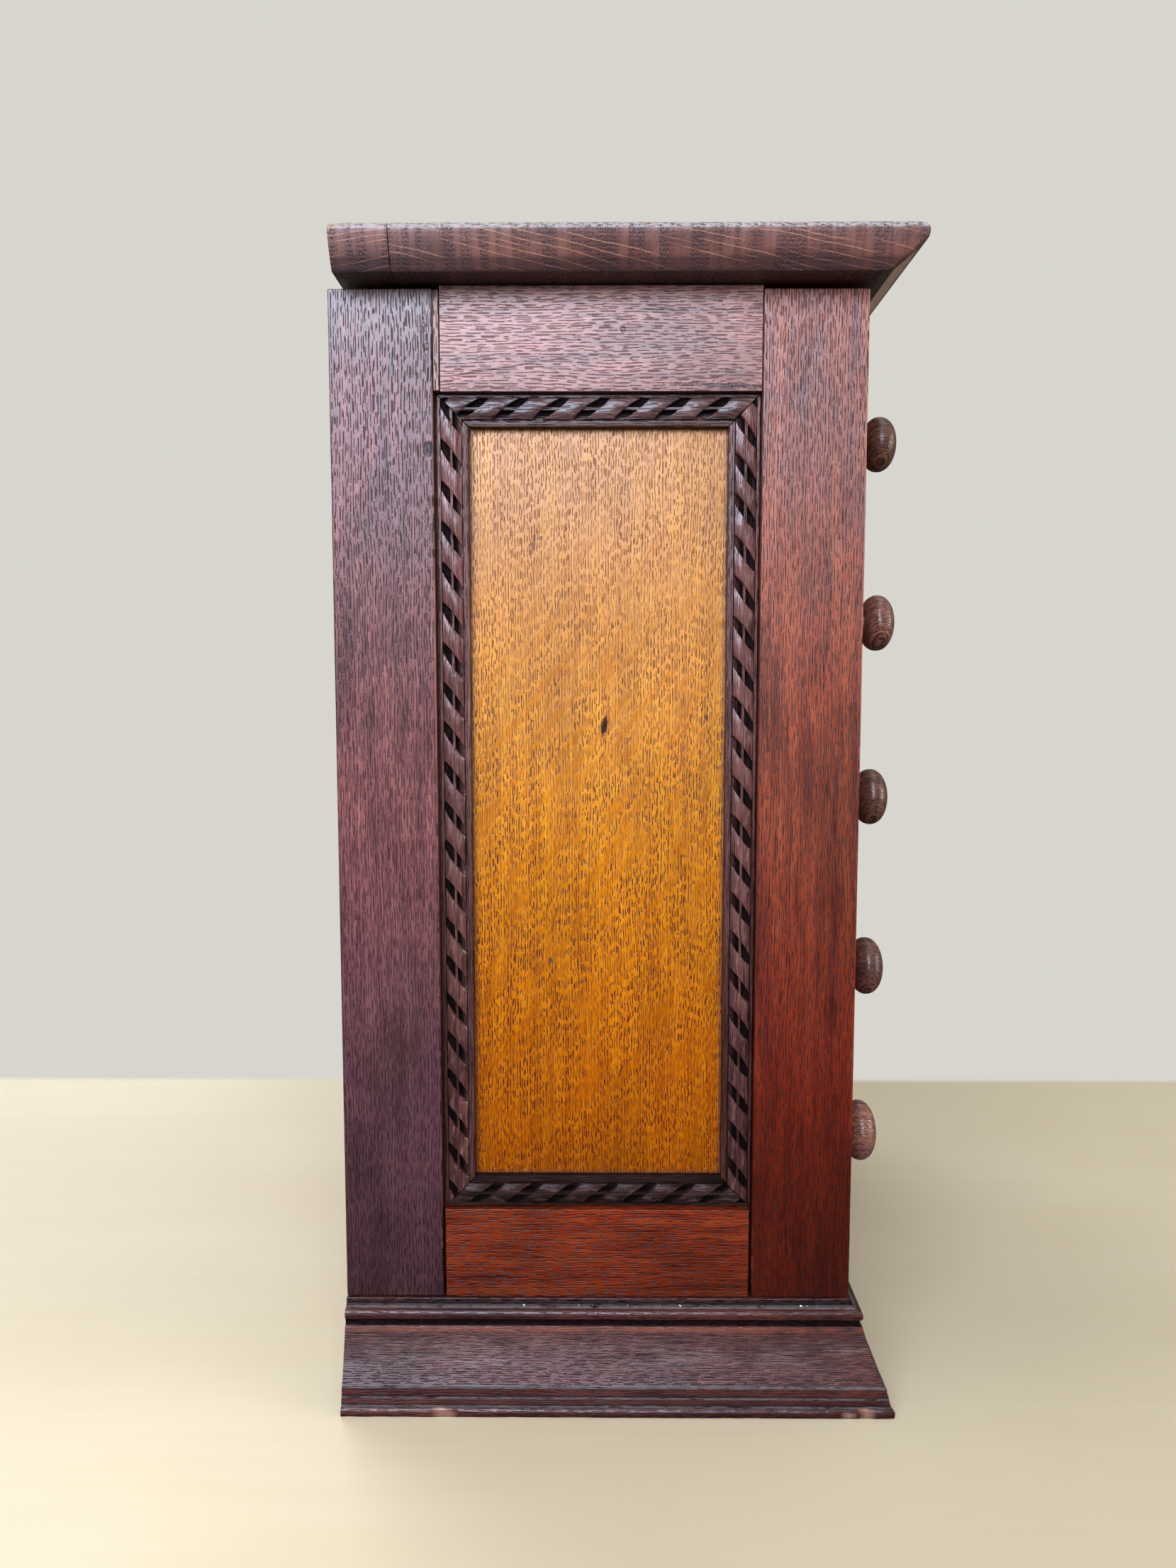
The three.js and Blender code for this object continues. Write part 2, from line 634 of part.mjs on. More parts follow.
// A turned knob: spigot, collar, waisted neck and a flattened ball. Its axis is y, outward.
function turnedKnob(diameter) {
  const headRadius = diameter / 2;
  const headCentre = KNOB_REACH - KNOB_HEAD_HALF_DEPTH;
  const headStart = -Math.acos(KNOB_NECK_RADIUS / headRadius);
  const headStartHeight = headCentre + KNOB_HEAD_HALF_DEPTH * Math.sin(headStart);
  const profile = new THREE.Path();
  profile.moveTo(0, -KNOB_SPIGOT_LENGTH);
  profile.lineTo(KNOB_SPIGOT_RADIUS, -KNOB_SPIGOT_LENGTH);
  profile.lineTo(KNOB_SPIGOT_RADIUS, GAP);
  profile.lineTo(KNOB_COLLAR_RADIUS, GAP);
  profile.lineTo(KNOB_COLLAR_RADIUS, KNOB_COLLAR_DEPTH);
  profile.quadraticCurveTo(KNOB_NECK_RADIUS - 0.8, 3.4, KNOB_NECK_RADIUS, headStartHeight);
  profile.absellipse(0, headCentre, headRadius, KNOB_HEAD_HALF_DEPTH, headStart, Math.PI / 2);
  return new THREE.LatheGeometry(profile.getPoints(CURVE_STEPS), TURNED_SEGMENTS);
}

function drawer(number) {
  const name = `drawer_${number}`;
  const group = new THREE.Group();
  group.position.set(0, FRONT + DRAWER_SETBACKS[number - 1], drawerCentre(number));
  group.add(
    part(`${name}_front`, drawerFront(), MATERIALS.drawerFront),
    part(`${name}_box`, drawerBox(), MATERIALS.lining),
    part(`${name}_bottom`, drawerBottom(), MATERIALS.lining),
  );
  for (const [sideName, side] of [['left', -1], ['right', 1]]) {
    const knob = part(
      `${name}_knob_${sideName}`, turnedKnob(KNOB_DIAMETERS[number - 1]), MATERIALS.knob);
    knob.position.x = side * (HALF_WIDTH - KNOB_INSET);
    knob.rotation.x = Math.PI;
    group.add(knob);
  }
  return group;
}

// ---------------------------------------------------------------- the chest

const chest = new THREE.Group();
chest.add(sideFrame(-1, 'left'), sideFrame(1, 'right'));
chest.add(part('left_packing_slip', packingSlip(), MATERIALS.slip));
chest.add(...topBoards(), ...plinthPieces(), ...insideBoards());
for (let number = 1; number <= DRAWER_COUNT; number += 1) {
  chest.add(drawer(number));
}

export default chest;
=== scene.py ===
from collections import namedtuple
import json
import math
import random

import bmesh
import bpy
from mathutils import Matrix, Vector, noise

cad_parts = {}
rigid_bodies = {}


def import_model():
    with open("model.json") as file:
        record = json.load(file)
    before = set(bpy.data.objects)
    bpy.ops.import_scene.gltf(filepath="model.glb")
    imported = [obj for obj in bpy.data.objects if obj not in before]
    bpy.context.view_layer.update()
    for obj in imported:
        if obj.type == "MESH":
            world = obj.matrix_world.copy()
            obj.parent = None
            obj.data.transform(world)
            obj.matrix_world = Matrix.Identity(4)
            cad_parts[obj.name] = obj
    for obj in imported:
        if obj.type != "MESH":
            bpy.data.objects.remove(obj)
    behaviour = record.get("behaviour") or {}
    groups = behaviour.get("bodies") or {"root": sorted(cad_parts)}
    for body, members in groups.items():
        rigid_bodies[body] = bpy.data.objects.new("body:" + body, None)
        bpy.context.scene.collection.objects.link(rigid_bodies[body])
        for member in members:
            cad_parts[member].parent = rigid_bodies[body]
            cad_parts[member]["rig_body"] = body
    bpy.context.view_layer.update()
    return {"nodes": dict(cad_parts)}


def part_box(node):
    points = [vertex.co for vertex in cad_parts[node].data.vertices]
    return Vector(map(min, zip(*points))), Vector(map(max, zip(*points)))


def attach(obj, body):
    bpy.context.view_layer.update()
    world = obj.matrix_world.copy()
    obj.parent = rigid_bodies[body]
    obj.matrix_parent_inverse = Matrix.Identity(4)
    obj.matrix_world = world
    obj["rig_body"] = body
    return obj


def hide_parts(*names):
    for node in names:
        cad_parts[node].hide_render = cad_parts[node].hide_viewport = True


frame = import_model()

# The looks of a miniature chest of drawers. Shapes are worked out in millimetres in the frame's
# axes (+Z up, drawer fronts towards -Y, the side towards the camera at -X) and made in metres.

MM = 0.001

# ---------------------------------------------------------------- driving dimensions, in mm

# Planes of the carcass, as in the CAD model
HALF_WIDTH = 122.5
REAR = 96.0
FRONT = -75.0
CARCASS_TOP = 368.0
TOP_FACE = 381.0
TOP_JOINT = REAR - 22.2
TOP_REAR = REAR - 4.2
PLINTH_TOP = 34.7
PLINTH_INSET = 14.0
MITRE_GAP = 0.2
JOINT_GAP = 0.3

# Side panels: middle and half size of what their mouldings leave open, and a knot, as y and z
PANEL_MIDDLE = (10.4, 200.6)
PANEL_HALF = (43.2, 126.2)
PANEL_KNOT = (8.4, 229)

# Rope mouldings: a bead between two fillets, cut across by slanting pockets
ROPE_WIDTH = 10.0
ROPE_CREST = 5.1
ROPE_FILLET_HEIGHT = 3.6
BEAD_MIDDLE = 4.6
BEAD_HALF_WIDTH = 3.25
TWIST_PITCH = 12.95
TWIST_SLANT = 1.3  # how far a pocket runs along the moulding for each mm across it
POCKET_HALF_LENGTH = 2.5  # along the moulding, at the middle of the bead
POCKET_END_HALF_LENGTH = 1.65
POCKET_BRINK = 1.07  # where the strand starts, as a share of the pocket's half length
POCKET_DEPTH = 3.1
POCKET_END_DEPTH = 1.1
POCKET_RIB_HALF_WIDTH = 0.4
POCKET_RIB_DEPTH = 0.75
# Where the first pocket's middle stands along each moulding on the left, and how much later on the right
FIRST_POCKET = {"bottom": 1.1, "front": 11.9, "top": 2.3, "rear": 6.8}
RIGHT_POCKET_SHIFT = 3.7

# Drawers
DRAWER_COUNT = 5
DRAWER_SETBACKS = [0, -0.8, 0.2, 0.4, 1.5]
LOWEST_DRAWER_CENTRE = 75.8
DRAWER_PITCH = 63.0
DRAWER_HALF_WIDTH = 105.9
DRAWER_LENGTH = 161.0
FRONT_THICKNESS = 9.0
LINING = 5.0
BACK_LINING = 4.5
DRAWER_FLOOR = -28.5
LINING_TOP = 25.5
BOTTOM_UNDERSIDE = DRAWER_FLOOR + 4
BOTTOM_UPPERSIDE = BOTTOM_UNDERSIDE + 3
DOVETAILS = 4
DOVETAIL_LAP = 3.0  # wood left in front of the tails in a drawer front
TAIL_TIP_HALF = 4.9
TAIL_ROOT_HALF = 3.9
TAIL_GAP = 0.08

# Knobs
KNOB_DIAMETERS = [19, 20, 20.4, 21, 22]
KNOB_OFFSET = 77.5
KNOB_REACH = 20.2
KNOB_HALF_LENGTH = 6.0  # of the head, along the axis
KNOB_NECK = 4.6
KNOB_SEGMENTS = 56
SPIGOT_RADIUS = 4.0
SPIGOT_END = -8.2

# Camera, in metres, and the colour behind everything
LENS = 26.09
EYE = (-0.4925, 0.0111, 0.2444)
GAZE = (0.9958, 0.0071, -0.0912)
BACKDROP = (0.68, 0.67, 0.62)

SEED = 7


# ---------------------------------------------------------------- mesh helpers

def wobble(point, size, seed=0.0):
    """A smooth value between about -1 and 1 that changes over `size` mm."""
    return noise.noise(Vector(point) / size + Vector((seed, 3.1 * seed, -seed)))


def box_mm(node):
    low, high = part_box(node)
    return low / MM, high / MM


def add_object(name, data):
    thing = bpy.data.objects.new(name, data)
    bpy.context.scene.collection.objects.link(thing)
    return thing


def mesh_from(bm, name):
    """Turns a bmesh into a mesh, and frees it."""
    mesh = bpy.data.meshes.new(name)
    bm.to_mesh(mesh)
    bm.free()
    return mesh


def add_piece(name, bm, material, body="carcass", stands_for=(), even_shading=True):
    """Makes a piece from a bmesh in mm and lets it ride on a body."""
    bmesh.ops.scale(bm, vec=(MM, MM, MM), verts=bm.verts)
    mesh = mesh_from(bm, name)
    mesh.shade_smooth()
    mesh.set_sharp_from_angle(angle=math.radians(42))
    piece = add_object(name, mesh)
    mesh.materials.append(material)
    if even_shading:
        piece.modifiers.new("even_shading", "WEIGHTED_NORMAL").keep_sharp = True
    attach(piece, body)
    if stands_for:
        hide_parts(*stands_for)
    return piece


def join_rings(bm, rings):
    """Joins closed rings of vertices, one after another, with quads, and closes both ends.

    The first ring sets how many are joined. The top boards' upper rings have a few more, which stay
    loose between the quads.
    """
    count = len(rings[0])
    for near, far in zip(rings, rings[1:]):
        for i in range(count):
            j = (i + 1) % count
            bm.faces.new((near[i], near[j], far[j], far[i]))
    bm.faces.new(list(reversed(rings[0])))
    bm.faces.new(rings[-1])
    bmesh.ops.recalc_face_normals(bm, faces=bm.faces)


def bm_from_rings(rings):
    bm = bmesh.new()
    join_rings(bm, [[bm.verts.new(point) for point in ring] for ring in rings])
    return bm


def bm_prism(outline, axis, start, end):
    """A prism whose outline lies in the two other axes, in the order x, y, z without `axis`."""
    index = "xyz".index(axis)
    return bm_from_rings([[(*p[:index], level, *p[index:]) for p in outline] for level in (start, end)])


def bm_box(low, high):
    outline = [(low[0], low[1]), (high[0], low[1]), (high[0], high[1]), (low[0], high[1])]
    return bm_prism(outline, "z", low[2], high[2])


def merge_into(target, addition):
    """Adds one bmesh to another and frees it."""
    mesh = mesh_from(addition, "merge")
    target.from_mesh(mesh)
    bpy.data.meshes.remove(mesh)


def bm_minus(base, cutter):
    """The first bmesh less the second, by an exact boolean."""
    whole, tool = (add_object("uncut", mesh_from(bm, "uncut")) for bm in (base, cutter))
    cut = whole.modifiers.new("cut", "BOOLEAN")
    cut.operation = "DIFFERENCE"
    cut.solver = "EXACT"
    cut.use_self = True
    cut.object = tool
    bpy.context.view_layer.update()
    result = bmesh.new()
    result.from_object(whole, bpy.context.evaluated_depsgraph_get())
    for holder in (whole, tool):
        mesh = holder.data
        bpy.data.objects.remove(holder)
        bpy.data.meshes.remove(mesh)
    bmesh.ops.remove_doubles(result, verts=result.verts, dist=0.001)
    return result


def wear_edges(bm, bevel, depth, spacing, seed):
    """Rounds the sharp edges, then bruises them unevenly inward.

    Bevel faces are cut across every `spacing` mm so that the wear can change along an edge. The wear
    attribute says how worn each vertex is.
    """
    layer = bm.faces.layers.int.new("round")
    sharp = [e for e in bm.edges if e.is_manifold and e.calc_face_angle(0) > math.radians(25)]
    rounded = bmesh.ops.bevel(
        bm, geom=sharp, offset=bevel, segments=3, profile=0.5, affect="EDGES", clamp_overlap=True)
    for face in rounded["faces"]:
        face[layer] = 1
    low = Vector([min(v.co[i] for v in bm.verts) for i in range(3)])
    high = Vector([max(v.co[i] for v in bm.verts) for i in range(3)])
    for axis in range(3):
        steps = int((high[axis] - low[axis]) / spacing)
        normal = Vector([float(i == axis) for i in range(3)])
        for step in range(1, steps):
            place = Vector(low)
            place[axis] = low[axis] + (high[axis] - low[axis]) * step / steps
            narrow = [f for f in bm.faces if f[layer] == 1]
            edges = {e for f in narrow for e in f.edges}
            verts = {v for f in narrow for v in f.verts}
            bmesh.ops.bisect_plane(
                bm, geom=list(verts) + list(edges) + narrow, dist=1e-4, plane_co=place, plane_no=normal)
    bm.normal_update()
    worn = bm.verts.layers.float.new("wear_and_highlight")
    for vert in bm.verts:
        if all(f[layer] for f in vert.link_faces):
            rough = wobble(vert.co, 9, seed) + 0.7 * wobble(vert.co, 3, seed + 5)
            vert.co -= vert.normal * max(0.0, rough) * depth
            vert[worn] = min(1.0, max(0.0, rough))
    return bm


def worn_copy(node, material, bevel=0.55, depth=0.22, spacing=7):
    """A piece with the CAD node's shape, its flat faces made whole again and its edges worn."""
    bm = bmesh.new()
    bm.from_mesh(frame["nodes"][node].data)
    bmesh.ops.scale(bm, vec=(1 / MM,) * 3, verts=bm.verts)
    bmesh.ops.remove_doubles(bm, verts=bm.verts, dist=0.005)
    bmesh.ops.dissolve_limit(bm, angle_limit=math.radians(1), verts=bm.verts, edges=bm.edges)
    seed = sum(ord(letter) for letter in node) % 97
    wear_edges(bm, bevel, depth, spacing, seed)
    body = frame["nodes"][node]["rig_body"]
    return add_piece(node + "_wood", bm, material, body=body, stands_for=[node])


# ---------------------------------------------------------------- shader helpers

WHITE = (1.0, 1.0, 1.0)


def scaled(colour, factor):
    return tuple(factor * channel for channel in colour)


class Value:
    """A number that a shader works out. Arithmetic with it adds the nodes that do the sum."""

    def __init__(self, shader, socket):
        self.shader = shader
        self.socket = socket

    def __add__(self, other):
        return self.shader.math("ADD", self, other)

    def __sub__(self, other):
        return self.shader.math("SUBTRACT", self, other)

    def __rsub__(self, other):
        return self.shader.math("SUBTRACT", other, self)

    def __mul__(self, other):
        return self.shader.math("MULTIPLY", self, other)

    def __truediv__(self, other):
        return self.shader.math("DIVIDE", self, other)

    def __abs__(self):
        return self.shader.math("ABSOLUTE", self)

    def __floor__(self):
        return self.shader.math("FLOOR", self)

    __radd__ = __add__
    __rmul__ = __mul__

    def fade(self, start, end, kind="SMOOTHSTEP"):
        """0 at `start` and 1 at `end`, smoothly between unless `kind` says otherwise."""
        inputs = {"Value": self, "From Min": start, "From Max": end}
        return self.shader.value("MapRange", inputs, interpolation_type=kind)


class Colour(Value):
    """A colour that a shader works out. It is multiplied channel by channel."""

    def __mul__(self, other):
        return self.shader.colour("VectorMath", {0: self, 1: other}, operation="MULTIPLY")

    def paint(self, factor, other):
        """Turns into the other colour as the factor rises from 0 to 1."""
        return self.shader.mix(factor, self, other)


class Shader:
    """One material made of nodes. Its x, y and z are object coordinates in mm."""

    def __init__(self, name):
        self.material = bpy.data.materials.new(name)
        self.material.use_nodes = True
        self.tree = self.material.node_tree
        self.tree.nodes.clear()
        place = self.value("TexCoord", output="Object")
        place = self.value("VectorMath", {0: place, "Scale": 1 / MM}, operation="SCALE")
        self.x, self.y, self.z = self.split(place)

    def node(self, kind, inputs=(), **settings):
        """Adds a node, with its inputs given by name or number."""
        node = self.tree.nodes.new("ShaderNode" + kind)
        for key, value in settings.items():
            setattr(node, key, value)
        for key, value in dict(inputs).items():
            socket = node.inputs[key]
            if isinstance(value, Value):
                self.tree.links.new(value.socket, socket)
            else:
                socket.default_value = (*value, 1.0) if socket.type == "RGBA" else value
        return node

    def value(self, kind, inputs=(), output=0, **settings):
        return Value(self, self.node(kind, inputs, **settings).outputs[output])

    def colour(self, kind, inputs=(), output=0, **settings):
        return Colour(self, self.node(kind, inputs, **settings).outputs[output])

    def math(self, operation, *values):
        return self.value("Math", enumerate(values), operation=operation)

    def largest(self, *values):
        total = values[0]
        for value in values[1:]:
            total = self.math("MAXIMUM", total, value)
        return total

    def join(self, x, y, z=0.0):
        return self.value("CombineXYZ", {0: x, 1: y, 2: z})

    def split(self, vector):
        return [Value(self, output) for output in self.node("SeparateXYZ", {0: vector}).outputs]

    def noise(self, x, y, z=None, detail=2.0, roughness=0.5, distortion=0.0):
        """Noise between 0 and 1 that changes over one unit of its coordinates."""
        place = self.join(x, y, z or 0.0)
        inputs = {"Vector": place, "Scale": 1.0, "Detail": detail, "Roughness": roughness,
                  "Distortion": distortion}
        return self.value("TexNoise", inputs, noise_dimensions="3D" if z else "2D")

    def lottery(self, x, y):
        """Three random numbers for each whole x and y."""
        inputs = {"Vector": self.join(x, y)}
        return self.split(self.value("TexWhiteNoise", inputs, "Color", noise_dimensions="2D"))

    def mix(self, factor, first, second):
        return self.colour("Mix", {0: factor, 6: first, 7: second}, 2, data_type="RGBA")

    def ramp(self, value, *stops):
        """A colour that follows a number through (number, colour) stops."""
        node = self.node("ValToRGB", {0: value})
        elements = node.color_ramp.elements
        for element, (place, colour) in zip(elements, (stops[0], stops[-1])):
            element.position = place
            element.color = (*colour, 1.0)
        for place, colour in stops[1:-1]:
            elements.new(place).color = (*colour, 1.0)
        return Colour(self, node.outputs[0])

    def tones(self, value, low, high, colours):
        """The first colour up to `low`, the second at a half and the third from `high` on."""
        return self.ramp(value, *zip((low, 0.5, high), colours))

    def by_height(self, stops):
        """A factor that follows the height above the floor through (height, factor) stops."""
        low, high = stops[0][0], stops[-1][0]
        level = self.z.fade(low, high, "LINEAR")
        return self.ramp(level, *(((z - low) / (high - low), scaled(WHITE, f)) for z, f in stops))

    def attribute(self, name):
        return self.value("Attribute", (), "Fac", attribute_name=name, attribute_type="GEOMETRY")

    def spot(self, centre, radii, tilt=0.0, ragged=0.25):
        """1 inside an ellipse on a side face, given by y and z, with a ragged edge."""
        cosine, sine = math.cos(math.radians(tilt)), math.sin(math.radians(tilt))
        dy = self.y - centre[0]
        dz = self.z - centre[1]
        a = (dy * cosine + dz * sine) / radii[0]
        b = (dz * cosine - dy * sine) / radii[1]
        distance = self.math("SQRT", a * a + b * b)
        rough = self.noise(self.y * 1.6, self.z * 1.1) - 0.5
        return (distance + rough * (4 * ragged)).fade(1.15, 0.75)

    def finish(self, shader):
        self.node("OutputMaterial", {0: shader})
        return self.material

    def surface(self, colour, roughness, height, metallic=0.0, sheen=0.5):
        bump = self.value("Bump", {"Height": height, "Distance": MM, "Strength": 1.0})
        inputs = {"Base Color": colour, "Roughness": roughness, "Normal": bump, "Metallic": metallic,
                  "Specular IOR Level": sheen}
        return self.finish(self.value("BsdfPrincipled", inputs))


class Oak:
    """The figure of an oak surface, ready to be coloured.

    `grain` and `lateral` name the axes along the grain and across it in the face that shows most. The
    third axis is added to the second, so that the pattern carries on round the board's edges.
    """

    def __init__(self, shader, grain, lateral, pore=(0.8, 5.2, 1.0), shift=0.0):
        axes = {"x": shader.x, "y": shader.y, "z": shader.z}
        self.shader = shader
        self.shift = shift
        self.along = axes.pop(grain)
        self.across = axes.pop(lateral) + axes.popitem()[1] * 0.83
        self.across = self.across + (self.noise(16, 45, 31, detail=1) - 0.5) * 2.2
        self.fibre = self.noise(0.42, 12, 1, detail=3, roughness=0.6)
        self.band = self.noise(3.6, 90, 2, detail=3, roughness=0.55)
        self.cloud = self.noise(20, 45, 3)
        self.ripple = self.noise(0.6, 1.3, 4, detail=1, distortion=0.8)
        column, length, width = pore
        self.pores = shader.largest(
            self.pore_layer(column, length, width, 5),
            self.pore_layer(column * 1.37, length * 0.7, width * 0.75, 41))

    def noise(self, across, along, shift, **settings):
        """Noise in grains of about `across` by `along` mm."""
        u = self.across / across + shift * 1.7
        v = self.along / along + (self.shift + shift)
        return self.shader.noise(u, v, **settings)

    def figure(self, banded):
        """A tone from fine fibres and from broad bands, which have the share `banded`."""
        return self.fibre * (1 - banded) + self.band * banded

    def pore_layer(self, column, length, width, shift):
        """Open pores: dark dashes in columns `column` mm apart, one in each `length` mm."""
        place = self.across / column + shift
        line = math.floor(place)
        start = self.shader.lottery(line, shift)[0]
        run = self.along / length + start * 9.7 + self.shift
        dash = math.floor(run)
        reach, jitter, girth = self.shader.lottery(line, dash)
        half_length = reach * 0.34 + 0.13
        half_width = (girth * 0.08 + 0.12) * width
        aside = place - line - 0.5 + (jitter - 0.5) * 0.3
        ahead = run - dash - 0.5
        thin = abs(aside).fade(half_width * 1.4, half_width * 0.7)
        return thin * abs(ahead).fade(half_length, half_length - 0.09)


# ---------------------------------------------------------------- materials

def stained_oak(name, grain, lateral, tones, shift=0.0, streak=0.4, pore_dark=0.8, gloss=0.27, quiet=0.0,
                orange=None, age_and_shade=None, low_tint=None, low_sheen=1.0, bloom_and_sheen=None, marks=None):
    """Dark stained and varnished oak. `tones` are its dark, middle and light colours.

    `bloom_and_sheen` is (height, height, strength): a pale, streaky veil grows between them, partly old
    varnish bloom and partly painted sheen.
    Towards the floor the figure fades by `quiet`, the colour turns by `low_tint`, and of the varnish's
    sheen the share `low_sheen` is left.
    """
    s = Shader(name)
    oak = Oak(s, grain, lateral, (0.85, 8.0, 0.9), shift)
    low_down = s.z.fade(220, 90)
    tone = oak.figure(streak)
    tone = tone + low_down * quiet * (0.5 - tone)
    colour = s.tones(tone, 0.3, 0.7, tones)
    if orange:
        glow = oak.noise(4.5, 60, 11).fade(0.5, 0.68)
        colour = colour.paint(glow * 0.6, orange)
    stain = oak.cloud.fade(0.62, 0.3)
    colour = colour * (1.0 - stain * 0.35)
    vein = oak.noise(0.9, 20, 19, distortion=0.3).fade(0.6, 0.72) * (1.0 - low_down * quiet)
    colour = colour * (1.0 - vein * 0.55)
    # Lighter or darker with height: partly age, partly painted shade.
    if age_and_shade:
        colour = colour * s.by_height(age_and_shade)
    if low_tint:
        colour = colour * s.mix(low_down, WHITE, low_tint)
    # Painted sheen, with old varnish bloom: a pale bluish veil between two heights.
    if bloom_and_sheen:
        start, end, strength = bloom_and_sheen
        streaks = oak.noise(0.5, 5, 23, detail=3, roughness=0.6).fade(0.48, 0.62)
        colour = colour.paint(s.z.fade(start, end) * (streaks * 0.6 + 0.4) * strength, (0.5, 0.47, 0.55))
    colour = colour.paint(oak.pores * pore_dark, scaled(tones[0], 0.1))
    height = oak.fibre * 0.04 - oak.pores * 0.04 + oak.cloud * 0.4 + oak.ripple * 0.04
    roughness = gloss + oak.pores * 0.25 + (oak.fibre - 0.5) * 0.25
    # Worn edges are painted pale; on the rope mouldings the same attribute also paints highlights on the
    # strands' ridges.
    scuffed_and_highlight = s.attribute("wear_and_highlight") * oak.noise(1.2, 4, 2).fade(0.4, 0.62)
    colour = colour.paint(scuffed_and_highlight * 0.6, tuple(0.9 * channel + 0.05 for channel in tones[2]))
    if marks:
        colour, roughness, height = marks(s, oak, colour, roughness, height)
    # The grime attribute paints the finish dark and dull: painted shade in pockets, quirks and corners, with
    # some dirt.
    grime_and_shade = s.attribute("grime_and_shade")
    colour = colour.paint(grime_and_shade * 0.96, (0.003, 0.0025, 0.003))
    sheen = (0.5 - grime_and_shade * 0.47 - oak.pores * 0.3) * (1.0 - low_down * (1.0 - low_sheen))
    return s.surface(colour, roughness + grime_and_shade * 0.3, height, sheen=sheen)


def rear_stile_marks(s, oak, colour, roughness, height):
    """A dark plug let into the inner edge, and a bruise beside it."""
    plug = s.spot((64.6, 317.5), (1.7, 2.3), ragged=0.08)
    bruise = s.spot((65.5, 353), (0.8, 5.0), tilt=-3, ragged=0.4)
    colour = colour.paint(plug * 0.85, (0.02, 0.018, 0.024))
    colour = colour.paint(bruise * 0.7, (0.03, 0.02, 0.025))
    return colour, roughness + plug * 0.3, height - plug * 0.25 - bruise * 0.2


def top_rail_marks(s, oak, colour, roughness, height):
    """A long scratch, a pin knot and a chewed lower edge."""
    scratch = s.spot((44.8, 342.2), (12.6, 0.3), tilt=-8.7, ragged=0.12)
    knot = s.spot((2.6, 354.5), (1.0, 0.9))
    chewed = s.spot((-28, 337.4), (14, 0.5), tilt=1.5, ragged=0.6)
    marks = s.largest(scratch, knot, chewed)
    return colour.paint(marks * 0.8, (0.035, 0.018, 0.02)), roughness, height - marks * 0.15


def plinth_marks(s, oak, colour, roughness, height):
    """Dust on the ledges with dark lines of painted shade above them, a rubbed cove with a painted sheen,
    and bare wood below the quirk.
    """
    def line(low, high, soft=0.12):
        return s.z.fade(low - soft, low + soft) * s.z.fade(high + soft, high - soft)

    dust = line(8.95, 9.4) + line(5.6, 5.95) + line(3.15, 3.45) + line(32.1, 32.9)
    # Painted shade: dark lines in the corners above the ledges.
    dark = line(9.5, 9.9) + line(6.05, 6.5) + line(3.55, 4.0) + line(33.0, 33.5)
    broken = s.noise(oak.along / 7, s.z, detail=4, roughness=0.7).fade(0.33, 0.5)
    cloudy = s.noise(oak.along / 22, s.z / 5, detail=3, roughness=0.6)
    # The middle of the cove is painted paler: partly a rubbed finish, partly a painted sheen.
    rubbed_and_sheen = line(14.0, 21.5, 2.5) * cloudy.fade(0.38, 0.62) * oak.fibre.fade(0.4, 0.6)
    bare = line(25.0, 26.3, 0.5) * cloudy.fade(0.35, 0.55)
    colour = colour.paint(s.attribute("wear_and_highlight") * 0.8, (0.3, 0.16, 0.12))
    colour = colour.paint(dark * 0.75, (0.008, 0.005, 0.006))
    colour = colour.paint(dust * broken * 0.75, (0.17, 0.16, 0.18))
    colour = colour.paint(rubbed_and_sheen * 0.5, (0.17, 0.1, 0.1))
    colour = colour.paint(bare * 0.7, (0.16, 0.035, 0.012))
    return colour, roughness + dust * 0.3, height


